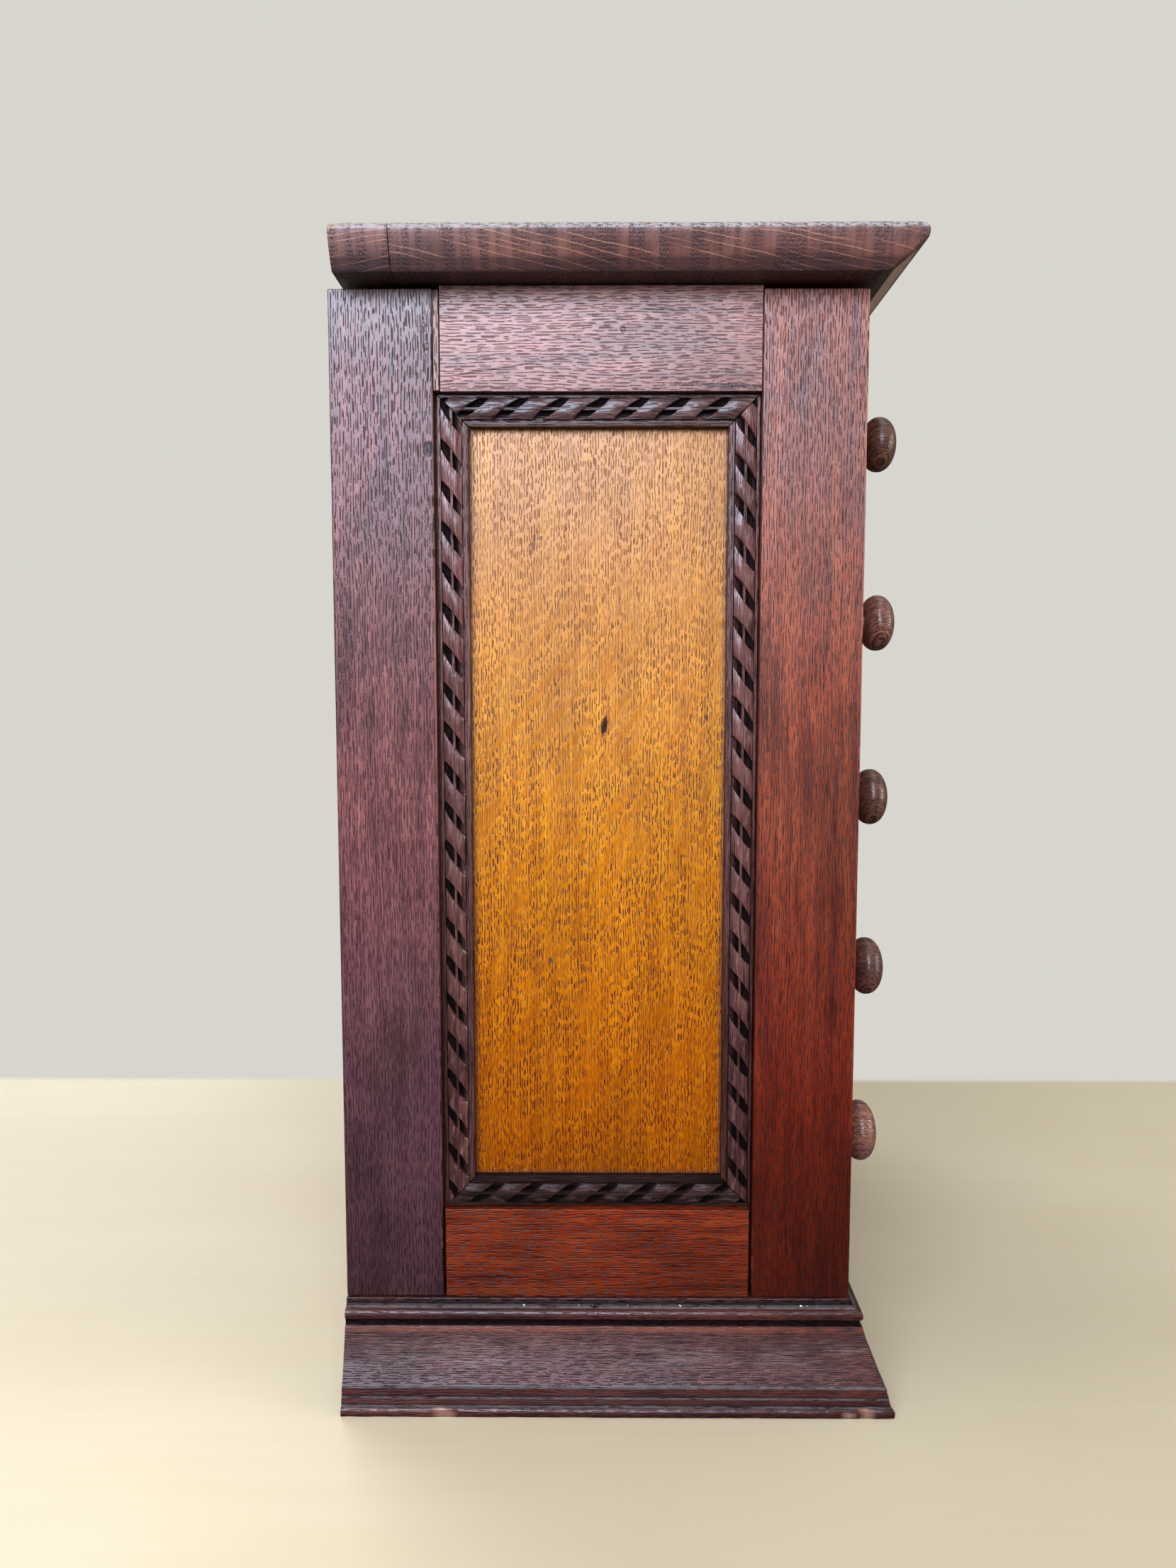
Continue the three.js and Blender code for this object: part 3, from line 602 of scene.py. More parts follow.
def golden_panel():
    """Quarter-sawn golden oak: dark pores, slanting ray flecks, a knot and small bruises."""
    s = Shader("golden_panel")
    oak = Oak(s, "z", "y")
    y, z = s.y, s.z
    tones = (0.34, 0.112, 0.003), (0.505, 0.19, 0.003), (0.62, 0.27, 0.004)
    colour = s.tones(oak.figure(0.4), 0.32, 0.68, tones) * s.by_height(PANEL_AGE_AND_SHADE)
    # Paler towards the top: partly bleached wood, partly painted sheen.
    bleach_and_sheen = z.fade(170, 330)
    colour = colour.paint(bleach_and_sheen * 0.3, (0.5, 0.3, 0.15))
    ruddy = z.fade(230, 70)
    colour = colour * s.mix(ruddy, WHITE, (0.93, 0.64, 0.3))
    # The flecks slant up towards the front, which is -Y.
    slope = math.radians(52)
    along = z * math.sin(slope) - y * math.cos(slope)
    across = y * math.sin(slope) + z * math.cos(slope)
    flecks = s.noise(across / 3.4, along / 30, distortion=0.25).fade(0.52, 0.62) * z.fade(330, 240)
    colour = colour.paint(flecks * 0.55, colour * (0.86, 0.74, 0.48))
    colour = colour * (oak.cloud.fade(0.35, 0.65) * 0.14 + 0.9)
    crowd = oak.noise(7, 20, 5).fade(0.3, 0.56)
    pores = oak.pores * (crowd * 0.4 + 0.6) * (1.0 - flecks * 0.35) * (1.0 - bleach_and_sheen * 0.25)
    colour = colour.paint(pores * 0.95, (0.06, 0.008, 0.004))
    # Darker where the panel meets its mouldings
    ragged = s.noise(y * 0.7, z * 0.35, detail=3) * 1.6
    edges = zip((y, z), PANEL_MIDDLE, PANEL_HALF)
    rim = s.largest(*((abs(a - middle) + ragged).fade(half - 2.6, half) for a, middle, half in edges))
    colour = colour.paint(rim * 0.8, (0.06, 0.02, 0.01))
    halo = s.spot(PANEL_KNOT, (1.7, 4.6), tilt=8)
    knot = s.spot(PANEL_KNOT, (0.95, 3.1), tilt=8)
    bruises = s.largest(
        s.spot((26.5, 150), (0.8, 1.1)), s.spot((31.5, 289), (0.45, 2.6), tilt=4),
        s.spot((29.2, 290.5), (0.5, 0.8)))
    scratch = s.largest(s.spot((2.5, 112), (0.3, 2.6), tilt=18), s.spot((-25.5, 232), (0.6, 1.4)))
    colour = colour.paint(halo * 0.45, (0.28, 0.07, 0.008))
    colour = colour.paint(knot * 0.98, (0.008, 0.004, 0.003))
    colour = colour.paint(bruises * 0.75, (0.07, 0.035, 0.03))
    colour = colour.paint(scratch * 0.8, (0.05, 0.02, 0.01))
    height = oak.fibre * 0.03 - pores * 0.07 + oak.cloud * 0.3 - knot * 0.3 - bruises * 0.15
    height = height + flecks * 0.015 + oak.ripple * (bleach_and_sheen * 0.018 + 0.008)
    roughness = 0.23 + pores * 0.3 - flecks * 0.04 + rim * 0.3 + (oak.fibre - 0.5) * 0.2
    sheen = 0.48 - ruddy * 0.18 - pores * 0.3
    return s.surface(colour, roughness, height, sheen=sheen)


def top_oak():
    """The top's oak, with the grain from side to side and rays showing on its sawn ends."""
    s = Shader("top_oak")
    oak = Oak(s, "x", "y")
    x, y, z = s.x, s.y, s.z
    end_face = abs(x).fade(HALF_WIDTH + 10.2, HALF_WIDTH + 10.8)
    # The sawn ends: years stand nearly upright, and the rays cross them, sloping down to the front.
    rear_strip = y.fade(TOP_JOINT - 0.05, TOP_JOINT + 0.05)
    slope = math.tan(math.radians(11))
    drift = s.noise(y / 30, z / 12, detail=1)
    level = z + y * (rear_strip * (1.7 * slope) - slope) + drift * 2.4
    rays = s.value("TexVoronoi", {"W": level / 1.8, "Scale": 1.0}, "Distance",
                   voronoi_dimensions="1D", feature="DISTANCE_TO_EDGE")
    ray = rays.fade(0.07, 0.025) * s.noise(y / 32, level / 0.8, detail=3).fade(0.42, 0.54) * end_face
    year = s.noise(y / 3.2, z / 30, detail=3)
    dots = s.value("TexVoronoi", {"Vector": s.join(y / 0.75, z / 1.1), "Scale": 1.0, "Randomness": 0.45},
                   "Distance", voronoi_dimensions="2D")
    end_pores = dots.fade(0.4, 0.25) * year.fade(0.36, 0.6)
    tones = (0.06, 0.018, 0.012), (0.105, 0.035, 0.02), (0.17, 0.062, 0.036)
    colour = s.tones(oak.figure(0.5), 0.3, 0.7, tones)
    end_tones = (0.165, 0.074, 0.064), (0.127, 0.052, 0.045), (0.11, 0.043, 0.041)
    shade = s.noise(y / 34, z / 9).fade(0.35, 0.7)
    end_colour = s.tones(year, 0.35, 0.65, end_tones) * (1.15 - shade * 0.45)
    # Towards the rear the ends are painted paler and bluer: a painted sheen.
    end_colour = end_colour.paint(y.fade(10, 95) * 0.07, (0.5, 0.47, 0.6))
    colour = colour.paint(end_face, end_colour)
    pores = oak.pores * (1.0 - end_face) + end_pores * end_face
    colour = colour.paint(pores * 0.8, (0.014, 0.007, 0.009))
    colour = colour.paint(ray * 0.85, (0.46, 0.23, 0.14))
    # Painted shadow: the end's lower edge, under the overhang, is painted dark.
    soffit_shadow = z.fade(CARCASS_TOP + 4.5, CARCASS_TOP + 3.0) * end_face
    colour = colour.paint(soffit_shadow * 0.6, (0.028, 0.013, 0.017))
    # Under the front overhang the wood is painted pale: partly unstained wood, partly painted light from the
    # front.
    unstained_and_lit = y.fade(FRONT - 0.5, FRONT - 2) * z.fade(CARCASS_TOP + 7.5, CARCASS_TOP + 6)
    colour = colour.paint(unstained_and_lit * (1.0 - end_face) * 0.8, (0.42, 0.28, 0.2))
    # The upper arris is painted pale and bluish: partly rubbed and bleached wood, partly painted sheen.
    brink = s.largest(abs(x).fade(HALF_WIDTH + 13.6, HALF_WIDTH + 15.8), y.fade(FRONT - 10.2, FRONT - 12))
    streaks = s.noise(y / 1.8, z * 1.4 + x / 3, detail=3)
    rubbed_and_sheen = z.fade(TOP_FACE - 2.3, TOP_FACE - 1.4) * brink * streaks.fade(0.34, 0.58)
    colour = colour.paint(rubbed_and_sheen * 0.75, (0.32, 0.36, 0.41))
    colour = colour.paint(s.attribute("wear_and_highlight") * 0.7, (0.36, 0.2, 0.12))
    # The grime attribute paints the underside dark: painted shade.
    colour = colour.paint(s.attribute("grime_and_shade") * 0.8, (0.012, 0.006, 0.007))
    height = oak.fibre * 0.08 - pores * 0.08 + ray * 0.02 + oak.cloud * 0.4
    return s.surface(colour, 0.4 + pores * 0.25 + rubbed_and_sheen * 0.1, height)


def knob_oak():
    """Turned oak, with the grain along the knob's axis. Two of the five heights are paler."""
    s = Shader("knob_oak")
    oak = Oak(s, "y", "z", (0.8, 3.2, 0.9))
    tones = (0.04, 0.019, 0.021), (0.103, 0.045, 0.037), (0.23, 0.105, 0.066)
    colour = s.tones(oak.figure(0.5), 0.3, 0.7, tones) * s.by_height(KNOB_AGE)
    glow = oak.noise(6, 6, 9).fade(0.45, 0.7)
    colour = colour.paint(glow * 0.3, (0.2, 0.08, 0.035))
    colour = colour.paint(oak.pores * 0.85, (0.012, 0.005, 0.004))
    # Painted shade, with some dirt, on the neck and spigot by the drawer front.
    grime_and_shade = s.attribute("grime_and_shade")
    colour = colour.paint(grime_and_shade * 0.8, (0.01, 0.006, 0.005))
    height = oak.fibre * 0.1 - oak.pores * 0.08 + oak.cloud * 0.1
    return s.surface(colour, 0.2 + oak.pores * 0.25 + grime_and_shade * 0.25, height)


def raw_wood(name, grain, lateral, tones, shift=0.0, dust=0.25):
    """Unvarnished wood of the inside and the back, darkened by age and dust."""
    s = Shader(name)
    oak = Oak(s, grain, lateral, (1.3, 7.0, 0.5), shift)
    colour = s.tones(oak.figure(0.6), 0.32, 0.7, tones)
    colour = colour.paint(oak.pores * 0.5, scaled(tones[0], 0.3))
    dirt = oak.noise(40, 55, 5, detail=4, roughness=0.6).fade(0.45, 0.7)
    colour = colour.paint(dirt * dust, (0.06, 0.045, 0.035))
    colour = colour.paint(s.attribute("wear_and_highlight") * 0.4, scaled(tones[2], 1.3))
    height = oak.fibre * 0.08 - oak.pores * 0.05 + oak.cloud * 0.3
    return s.surface(colour, 0.68 + oak.band * 0.12 + dirt * 0.1, height)


def aged_iron():
    s = Shader("aged_iron")
    rust = s.noise(s.x * 1.3, s.y * 1.3, s.z * 1.3, detail=4).fade(0.4, 0.65)
    colour = s.mix(rust, (0.09, 0.075, 0.065), (0.1, 0.04, 0.02))
    return s.surface(colour, 0.45 + rust * 0.35, rust * 0.03, metallic=0.7)


def old_paint():
    s = Shader("old_paint")
    grain = s.noise(s.x * 2, s.y * 2, s.z * 2)
    colour = s.mix(grain, (0.55, 0.52, 0.47), (0.78, 0.76, 0.72))
    return s.surface(colour, 0.6 + grain * 0.2, grain * 0.05)


def pale_floor():
    s = Shader("pale_floor")
    grain = s.noise(s.x / 9, s.y / 160, detail=4, roughness=0.6)
    cloud = s.noise(s.x / 120, s.y / 160, detail=3)
    colour = s.ramp(grain * 0.3 + cloud * 0.7, (0.35, (0.68, 0.61, 0.46)), (0.65, (0.72, 0.66, 0.51)))
    # The table lies in less light towards the drawers and behind the chest.
    colour = colour * (0.69 + s.y.fade(-60, 170) * 0.12 + s.x.fade(-60, -170) * 0.1)
    bump = s.value("Bump", {"Height": grain, "Distance": 0.05 * MM})
    wood = s.value("BsdfPrincipled", {"Base Color": colour, "Roughness": 0.55, "Normal": bump})
    haze = s.value("Emission", {"Color": BACKDROP, "Strength": 1.0})
    # The table ends in the backdrop's colour: sharply behind the chest, softly elsewhere.
    ends = s.largest(s.x.fade(180, 190), s.x.fade(-300, -420), abs(s.y).fade(420, 560))
    return s.finish(s.value("MixShader", {0: ends, 1: wood, 2: haze}))


# Dark, middle and light colours
REAR_STILE_TONES = [(0.045, 0.0145, 0.02), (0.14, 0.043, 0.048), (0.25, 0.093, 0.092)]
FRONT_STILE_TONES = [(0.085, 0.0145, 0.009), (0.212, 0.0395, 0.0185), (0.335, 0.081, 0.033)]
TOP_RAIL_TONES = [(0.09, 0.036, 0.035), (0.25, 0.1, 0.088), (0.42, 0.19, 0.175)]
BOTTOM_RAIL_TONES = [(0.058, 0.007, 0.0025), (0.212, 0.026, 0.006), (0.355, 0.053, 0.011)]
PLINTH_TONES = [(0.031, 0.009, 0.009), (0.068, 0.0185, 0.017), (0.12, 0.036, 0.028)]
ROPE_TONES = [(0.038, 0.015, 0.016), (0.16, 0.062, 0.06), (0.32, 0.16, 0.16)]
# The level mouldings' tones are a darker, bluer copy of the upright ones: a painted shade on the same wood.
ROPE_LEVEL_SHADED_TONES = [(0.022, 0.012, 0.013), (0.083, 0.041, 0.043), (0.185, 0.11, 0.118)]
SLIP_TONES = [(0.13, 0.06, 0.045), (0.2, 0.1, 0.08), (0.3, 0.16, 0.13)]
PINE_TONES = [(0.22, 0.11, 0.05), (0.34, 0.19, 0.09), (0.44, 0.27, 0.14)]
LINING_TONES = [(0.24, 0.13, 0.06), (0.38, 0.23, 0.11), (0.48, 0.31, 0.17)]

# How light the finish is painted at each height: darkest near the floor, partly for age and partly as
# painted shade. The knobs' factors give each knob its own tone.
REAR_STILE_AGE_AND_SHADE = [(35, 0.38), (60, 0.48), (120, 0.74), (200, 1.32), (300, 1.05), (368, 0.76)]
FRONT_STILE_AGE_AND_SHADE = [(35, 0.23), (60, 0.36), (100, 0.54), (160, 0.8), (240, 1.05), (368, 0.98)]
ROPE_AGE_AND_SHADE = [(66, 0.4), (130, 0.55), (220, 0.8), (335, 1.0)]
PANEL_AGE_AND_SHADE = [(66, 0.5), (90, 0.74), (130, 0.93), (175, 1.08), (250, 1.14), (290, 1.0), (335, 0.84)]
KNOB_AGE = [(50, 2.2), (107, 2.2), (108, 1.1), (233, 0.9), (234, 1.85), (295, 1.85), (296, 0.8), (350, 0.8)]

OAK_REAR_STILE = stained_oak(
    "oak_rear_stile", "z", "y", REAR_STILE_TONES, quiet=0.65, age_and_shade=REAR_STILE_AGE_AND_SHADE,
    low_tint=(1.0, 1.3, 1.6), bloom_and_sheen=(340, 366, 0.28), marks=rear_stile_marks)
OAK_FRONT_STILE = stained_oak(
    "oak_front_stile", "z", "y", FRONT_STILE_TONES, 4.0, streak=0.55, quiet=0.3,
    orange=(0.3, 0.066, 0.02), age_and_shade=FRONT_STILE_AGE_AND_SHADE, low_tint=(1.0, 0.45, 0.3), bloom_and_sheen=(220, 370, 0.22))
OAK_TOP_RAIL = stained_oak(
    "oak_top_rail", "y", "z", TOP_RAIL_TONES, 8.0, pore_dark=0.6, bloom_and_sheen=(330, 350, 0.16),
    marks=top_rail_marks)
OAK_BOTTOM_RAIL = stained_oak(
    "oak_bottom_rail", "y", "z", BOTTOM_RAIL_TONES, 12.0, orange=(0.27, 0.05, 0.012),
    age_and_shade=[(35, 0.6), (66, 0.85)], low_tint=(1.02, 0.93, 0.7))
OAK_CROSS = stained_oak("oak_cross", "x", "z", BOTTOM_RAIL_TONES, 16.0)
OAK_DRAWER_FRONT = stained_oak(
    "oak_drawer_front", "x", "z", FRONT_STILE_TONES, 20.0, orange=(0.3, 0.075, 0.02))
OAK_PLINTH_SIDE = stained_oak("oak_plinth_side", "y", "z", PLINTH_TONES, 24.0, marks=plinth_marks)
OAK_PLINTH_FRONT = stained_oak("oak_plinth_front", "x", "z", PLINTH_TONES, 28.0, marks=plinth_marks)
OAK_ROPE_UPRIGHT = stained_oak(
    "oak_rope_upright", "z", "y", ROPE_TONES, 32.0, pore_dark=0.4, gloss=0.2, age_and_shade=ROPE_AGE_AND_SHADE, low_sheen=0.5)
OAK_ROPE_LEVEL_SHADED = stained_oak(
    "oak_rope_level_shaded", "y", "z", ROPE_LEVEL_SHADED_TONES, 36.0, pore_dark=0.4, gloss=0.2, age_and_shade=ROPE_AGE_AND_SHADE,
    low_sheen=0.2)
OAK_SLIP = stained_oak("oak_slip", "z", "y", SLIP_TONES, 40.0)
OAK_TOP = top_oak()
OAK_KNOB = knob_oak()
GOLDEN_PANEL = golden_panel()
PINE_UPRIGHT = raw_wood("pine_upright", "z", "x", PINE_TONES)
PINE_CROSS = raw_wood("pine_cross", "x", "y", PINE_TONES, 5.0)
LINING_SIDE = raw_wood("lining_side", "y", "z", LINING_TONES, 9.0, 0.15)
LINING_BACK = raw_wood("lining_back", "x", "z", LINING_TONES, 13.0, 0.15)
LINING_BOTTOM = raw_wood("lining_bottom", "x", "y", LINING_TONES, 17.0, 0.2)
IRON = aged_iron()
PAINT = old_paint()


# ---------------------------------------------------------------- side frames

def side_frames():
    for side in ("left", "right"):
        worn_copy(f"{side}_rear_stile", OAK_REAR_STILE)
        worn_copy(f"{side}_front_stile", OAK_FRONT_STILE)
        worn_copy(f"{side}_top_rail", OAK_TOP_RAIL)
        worn_copy(f"{side}_bottom_rail", OAK_BOTTOM_RAIL)
        worn_copy(f"{side}_panel", GOLDEN_PANEL, bevel=0.3, depth=0.05, spacing=40)
    worn_copy("left_packing_slip", OAK_SLIP, bevel=0.25, depth=0.1)


# ---------------------------------------------------------------- rope mouldings

# Places across the bead, from its middle: dense at the rib, whose sides are nearly upright
BEAD_HALF_COLUMNS = [0.15, 0.4, 0.56, 0.9, 1.25, 1.6, 1.95, 2.3, 2.65, 3.0, 3.25]
BEAD_COLUMNS = [-offset for offset in reversed(BEAD_HALF_COLUMNS)] + BEAD_HALF_COLUMNS
# Rows of half a pocket: place as a share of its half length, and how far down towards the floor
POCKET_HALF_ROWS = [(0.4, 1.0), (0.8, 1.0), (0.93, 0.9), (1.0, 0.1), (POCKET_BRINK, 0.0)]
POCKET_ROWS = [(-place, fall) for place, fall in reversed(POCKET_HALF_ROWS)]
POCKET_ROWS += [(0.0, 1.0)] + POCKET_HALF_ROWS
STRAND_ROWS = 9

# A row of points across the moulding, in a pocket or on the strand after it
Row = namedtuple("Row", "in_pocket middle place fall deepen seed")


def pocket_half_length(across):
    """Half of a pocket's extent along the moulding, at `across` from the middle of the bead."""
    reach = min(1.0, abs(across) / BEAD_HALF_WIDTH)
    return POCKET_END_HALF_LENGTH + (POCKET_HALF_LENGTH - POCKET_END_HALF_LENGTH) * (1 - reach ** 2.4)


def on_rib(across):
    return abs(across) <= POCKET_RIB_HALF_WIDTH + 0.01


def pocket_depth(across):
    """Depth of a pocket's floor below the crest of the bead."""
    if on_rib(across):
        return POCKET_RIB_DEPTH
    reach = min(1.0, abs(across) / BEAD_HALF_WIDTH)
    return POCKET_DEPTH + (1.35 + POCKET_END_DEPTH - POCKET_DEPTH) * reach ** 1.3


def strand_ridges(share, seed):
    """Where the two ridges of a strand stand across the bead."""
    left = -1.0 - 1.5 * share + 0.25 * wobble((seed, 0, 0), 1)
    right = 2.0 - 1.1 * share + 0.25 * wobble((0, seed, 0), 1)
    return left, right


def strand_height(across, share, seed):
    """Height of the bead between two pockets; `share` runs from 0 at one pocket to 1 at the next.

    The strand has three flats, and the two ridges between them lean from one side to the other.
    """
    def crown(offset):
        return math.sqrt(max(0.0, 1 - (offset / (BEAD_HALF_WIDTH + 0.25)) ** 2))

    corners = [-BEAD_HALF_WIDTH, *strand_ridges(share, seed), BEAD_HALF_WIDTH]
    start, end = next(flat for flat in zip(corners, corners[1:]) if across <= flat[1])
    level = crown(start) + (crown(end) - crown(start)) * (across - start) / (end - start)
    swell = 0.28 * math.sin(math.pi * share) - 0.2
    return ROPE_FILLET_HEIGHT + (ROPE_CREST - ROPE_FILLET_HEIGHT) * level * 0.96 + swell


def rope_columns():
    """Points across the moulding: which part each is on, its place, and its height off the bead."""
    quirk = 0.22
    outer = BEAD_MIDDLE - BEAD_HALF_WIDTH - quirk
    inner = BEAD_MIDDLE + BEAD_HALF_WIDTH + quirk
    top = ROPE_FILLET_HEIGHT
    columns = [("fillet", 0.0, top - 0.35), ("fillet", 0.15, top - 0.05), ("fillet", 0.8, top),
               ("fillet", outer - 0.12, top - 0.02), ("quirk", outer, top - 0.55)]
    columns += [("bead", BEAD_MIDDLE + offset, None) for offset in BEAD_COLUMNS]
    columns += [("quirk", inner, top - 0.55), ("fillet", inner + 0.12, top - 0.02),
                ("fillet", 9.3, top - 0.05), ("fillet", 9.85, top - 0.15), ("fillet", ROPE_WIDTH, top - 0.5)]
    return columns


def rope_rows(length, first_pocket, seed):
    """Rows along the moulding, from two twists before its start to two beyond its end."""
    rows = []
    middle = first_pocket - 2 * TWIST_PITCH
    while middle < length + 2 * TWIST_PITCH:
        shift = 0.25 * wobble((seed, 1, 2), 1)
        stretch = 1 + 0.12 * wobble((2, seed, 1), 1)
        deepen = 1 + 0.15 * wobble((1, 2, seed), 1)
        for place, fall in POCKET_ROWS:
            rows.append(Row(True, middle + shift, place * stretch, fall, deepen, seed))
        for step in range(1, STRAND_ROWS):
            rows.append(Row(False, middle, step / STRAND_ROWS, 0.0, 1.0, seed + 0.5))
        middle += TWIST_PITCH
        seed += 1.37
    return rows


def row_place(row, across):
    """How far along the moulding a row crosses the line `across` from the middle of the bead."""
    half = pocket_half_length(across)
    middle = row.middle + TWIST_SLANT * across
    if row.in_pocket:
        return middle + row.place * half
    return middle + half * POCKET_BRINK + (TWIST_PITCH - 2 * half * POCKET_BRINK) * row.place


def bead_point(row, across, x, y, seed):
    """Height, grime with painted shade, and wear with painted highlight of a point on the bead."""
    share = row.place
    if row.in_pocket:
        share = 1.0 if row.place < 0 else 0.0
    height = strand_height(across, share, row.seed + (0 if row.place < 0 else 0.5))
    grime_and_shade = 0.0
    wear_and_highlight = 0.0
    if row.in_pocket:
        floor = ROPE_CREST - pocket_depth(across) * row.deepen
        drop = max(0.0, height - floor) * row.fall
        height -= drop
        # Pockets are painted dark: painted shade, with some dirt. The inner scoop, which faces the light, is
        # painted lighter as it rises to its end, and the rib is painted lighter too.
        rise = max(0.0, (across - 1.3) / (BEAD_HALF_WIDTH - 1.3))
        grime_and_shade = row.fall * (0.35 if on_rib(across) else min(1.0, drop / 1.1) * (1 - 0.6 * rise))
    else:
        # The strand's ridges and its brink by the next pocket are painted pale: partly worn edges, partly
        # painted highlight.
        ridge = max(math.exp(-((across - line) / 0.4) ** 2) for line in strand_ridges(share, row.seed))
        wear_and_highlight = 0.9 * ridge * (0.4 + max(0.0, wobble((x, y, seed), 3)))
        if row.place > 0.8:
            wear_and_highlight = max(wear_and_highlight, 0.8 * wobble((x, y, seed), 2.5))
    return height + 0.05 * wobble((x * 0.4, y, seed), 1.1), grime_and_shade, wear_and_highlight


def rope_bmesh(length, first_pocket, seed):
    """A carved moulding along x from its outer mitre, y inward across it and z out from the panel."""
    bm = bmesh.new()
    grime_and_shade_layer = bm.verts.layers.float.new("grime_and_shade")
    wear_and_highlight_layer = bm.verts.layers.float.new("wear_and_highlight")

    def add_vert(x, y, height, grime_and_shade, wear_and_highlight=0.0):
        vert = bm.verts.new((x, y, height))
        vert[grime_and_shade_layer] = grime_and_shade
        vert[wear_and_highlight_layer] = wear_and_highlight
        return vert

    rings = []
    columns = rope_columns()
    for row in rope_rows(length, first_pocket, seed):
        line = []
        for part, y, level in columns:
            across = max(-BEAD_HALF_WIDTH, min(BEAD_HALF_WIDTH, y - BEAD_MIDDLE))
            x = row_place(row, across)
            if part == "bead":
                line.append(add_vert(x, y, *bead_point(row, across, x, y, seed)))
            else:
                # Fillets are painted a little darker and duller, quirks and the foot nearly black: painted
                # shade, with some dirt.
                height = level + 0.06 * wobble((x, y, seed), 7)
                line.append(add_vert(x, y, height, 0.95 if part == "quirk" else 0.3))
        foot_outer = add_vert(line[0].co.x, 0.0, 0.0, 0.9)
        foot_inner = add_vert(line[-1].co.x, ROPE_WIDTH, 0.0, 0.9)
        rings.append([foot_outer] + line + [foot_inner])
    join_rings(bm, rings)
    for place, direction in ((MITRE_GAP, Vector((-1, 1, 0))), (length - MITRE_GAP, Vector((1, 1, 0)))):
        cut = bmesh.ops.bisect_plane(
            bm, geom=bm.verts[:] + bm.edges[:] + bm.faces[:], dist=1e-5,
            plane_co=(place, 0, 0), plane_no=direction, clear_outer=True)
        edges = [e for e in cut["geom_cut"] if isinstance(e, bmesh.types.BMEdge)]
        bmesh.ops.triangle_fill(bm, edges=edges, use_beauty=True)
    bmesh.ops.recalc_face_normals(bm, faces=bm.faces)
    return bm


def rope_mouldings():
    # Each moulding is walked anticlockwise as seen from outside: which way in y and z, on the right
    walks = {"bottom": (1, 0), "front": (0, -1), "top": (-1, 0), "rear": (0, 1)}
    for side_name, side in (("left", -1), ("right", 1)):
        for number, (place, walk) in enumerate(walks.items()):
            node = f"{side_name}_rope_{place}"
            low, high = box_mm(node)
            along = Vector((0, *walk)) * side
            outward = Vector((side, 0, 0))
            inward = outward.cross(along)
            # The walk starts at the outer corner of the moulding's foot.
            ahead = along + inward + outward
            corner = Vector([low[i] if ahead[i] > 0 else high[i] for i in range(3)])
            # The CAD box stops at the mitre gap at both ends, so it gives the cut length.
            length = abs(along.dot(high - low)) + 2 * MITRE_GAP
            first = FIRST_POCKET[place] + (RIGHT_POCKET_SHIFT if side > 0 else 0)
            bm = rope_bmesh(length, first, SEED + number * 11.3 + side)
            turn = Matrix((along, inward, outward)).transposed().to_4x4()
            shift = Matrix.Translation(corner - along * MITRE_GAP)
            bmesh.ops.transform(bm, matrix=shift @ turn, verts=bm.verts)
            material = OAK_ROPE_LEVEL_SHADED if walk[0] else OAK_ROPE_UPRIGHT
            add_piece(f"{node}_carved", bm, material, stands_for=[node], even_shading=False)


# ---------------------------------------------------------------- top

def quadratic(start, control, end, steps):
    """Points along a quadratic curve, without the first one."""
    points = []
    for step in range(1, steps + 1):
        t = step / steps
        points.append(tuple(
            (1 - t) ** 2 * a + 2 * t * (1 - t) * b + t * t * c for a, b, c in zip(start, control, end)))
    return points


def reach_at(profile, height):
    """The overhang of a profile of (overhang, height) points at a height."""
    for (a, za), (b, zb) in zip(profile, profile[1:]):
        if za <= height <= zb:
            return a + (b - a) * (height - za) / max(1e-6, zb - za)
    return profile[-1][0]


def top_profiles():
    """Overhangs of the ends and the front, each as (overhang, height) from the underside up."""
    bottom = CARCASS_TOP + JOINT_GAP
    end = [(11.5, bottom)]
    end += quadratic(end[-1], (15.3, bottom + 4.7), (17, TOP_FACE - 2.1), 12)
    end += quadratic(end[-1], (17, TOP_FACE - 0.3), (15.6, TOP_FACE), 8)
    front = [(4, bottom)]
    front += quadratic(front[-1], (6.3, bottom + 2.1), (12.6, TOP_FACE - 5.6), 12)
    front += quadratic(front[-1], (14.1, TOP_FACE - 4.2), (14.2, TOP_FACE - 2.6), 8)
    front += quadratic(front[-1], (14.3, TOP_FACE - 0.1), (11.5, TOP_FACE), 8)
    return end, front


TOP_SPACING = 4.0
TOP_LEVELS = [368.3, 368.45, 368.9, 369.8, 371.2, 372.8, 374.3, 375.4, 376.3, 377.1, 377.9, 378.6, 379.2,
              379.7, 380.15, 380.5, 380.8, 380.95, 381.0]


def top_ring(half_width, y_front, y_rear, corner_radius):
    """A closed plan of a board, with rounded front corners when corner_radius isn't 0."""
    path = [(-half_width, y_rear)]
    corners = [((-half_width, y_front), corner_radius), ((half_width, y_front), corner_radius),
               ((half_width, y_rear), 0.0)]
    for corner, radius in corners:
        start = Vector(path[-1])
        run = Vector(corner) - start
        direction = run.normalized()
        count = round((run.length + 0.01) / TOP_SPACING)
        for step in range(1, count + 1):
            path.append(tuple(start + direction * (run.length - radius) * step / count))
        if radius:
            turn = Vector((-direction.y, direction.x))
            centre = Vector(corner) - direction * radius + turn * radius
            for step in range(1, 5):
                angle = math.pi / 2 * step / 4
                along = direction * radius * math.sin(angle)
                path.append(tuple(centre - turn * radius * math.cos(angle) + along))
    x_end = path[-1][0]
    count = round(2 * half_width / TOP_SPACING)
    path += [(x_end - 2 * half_width * step / count, y_rear) for step in range(1, count)]
    return path


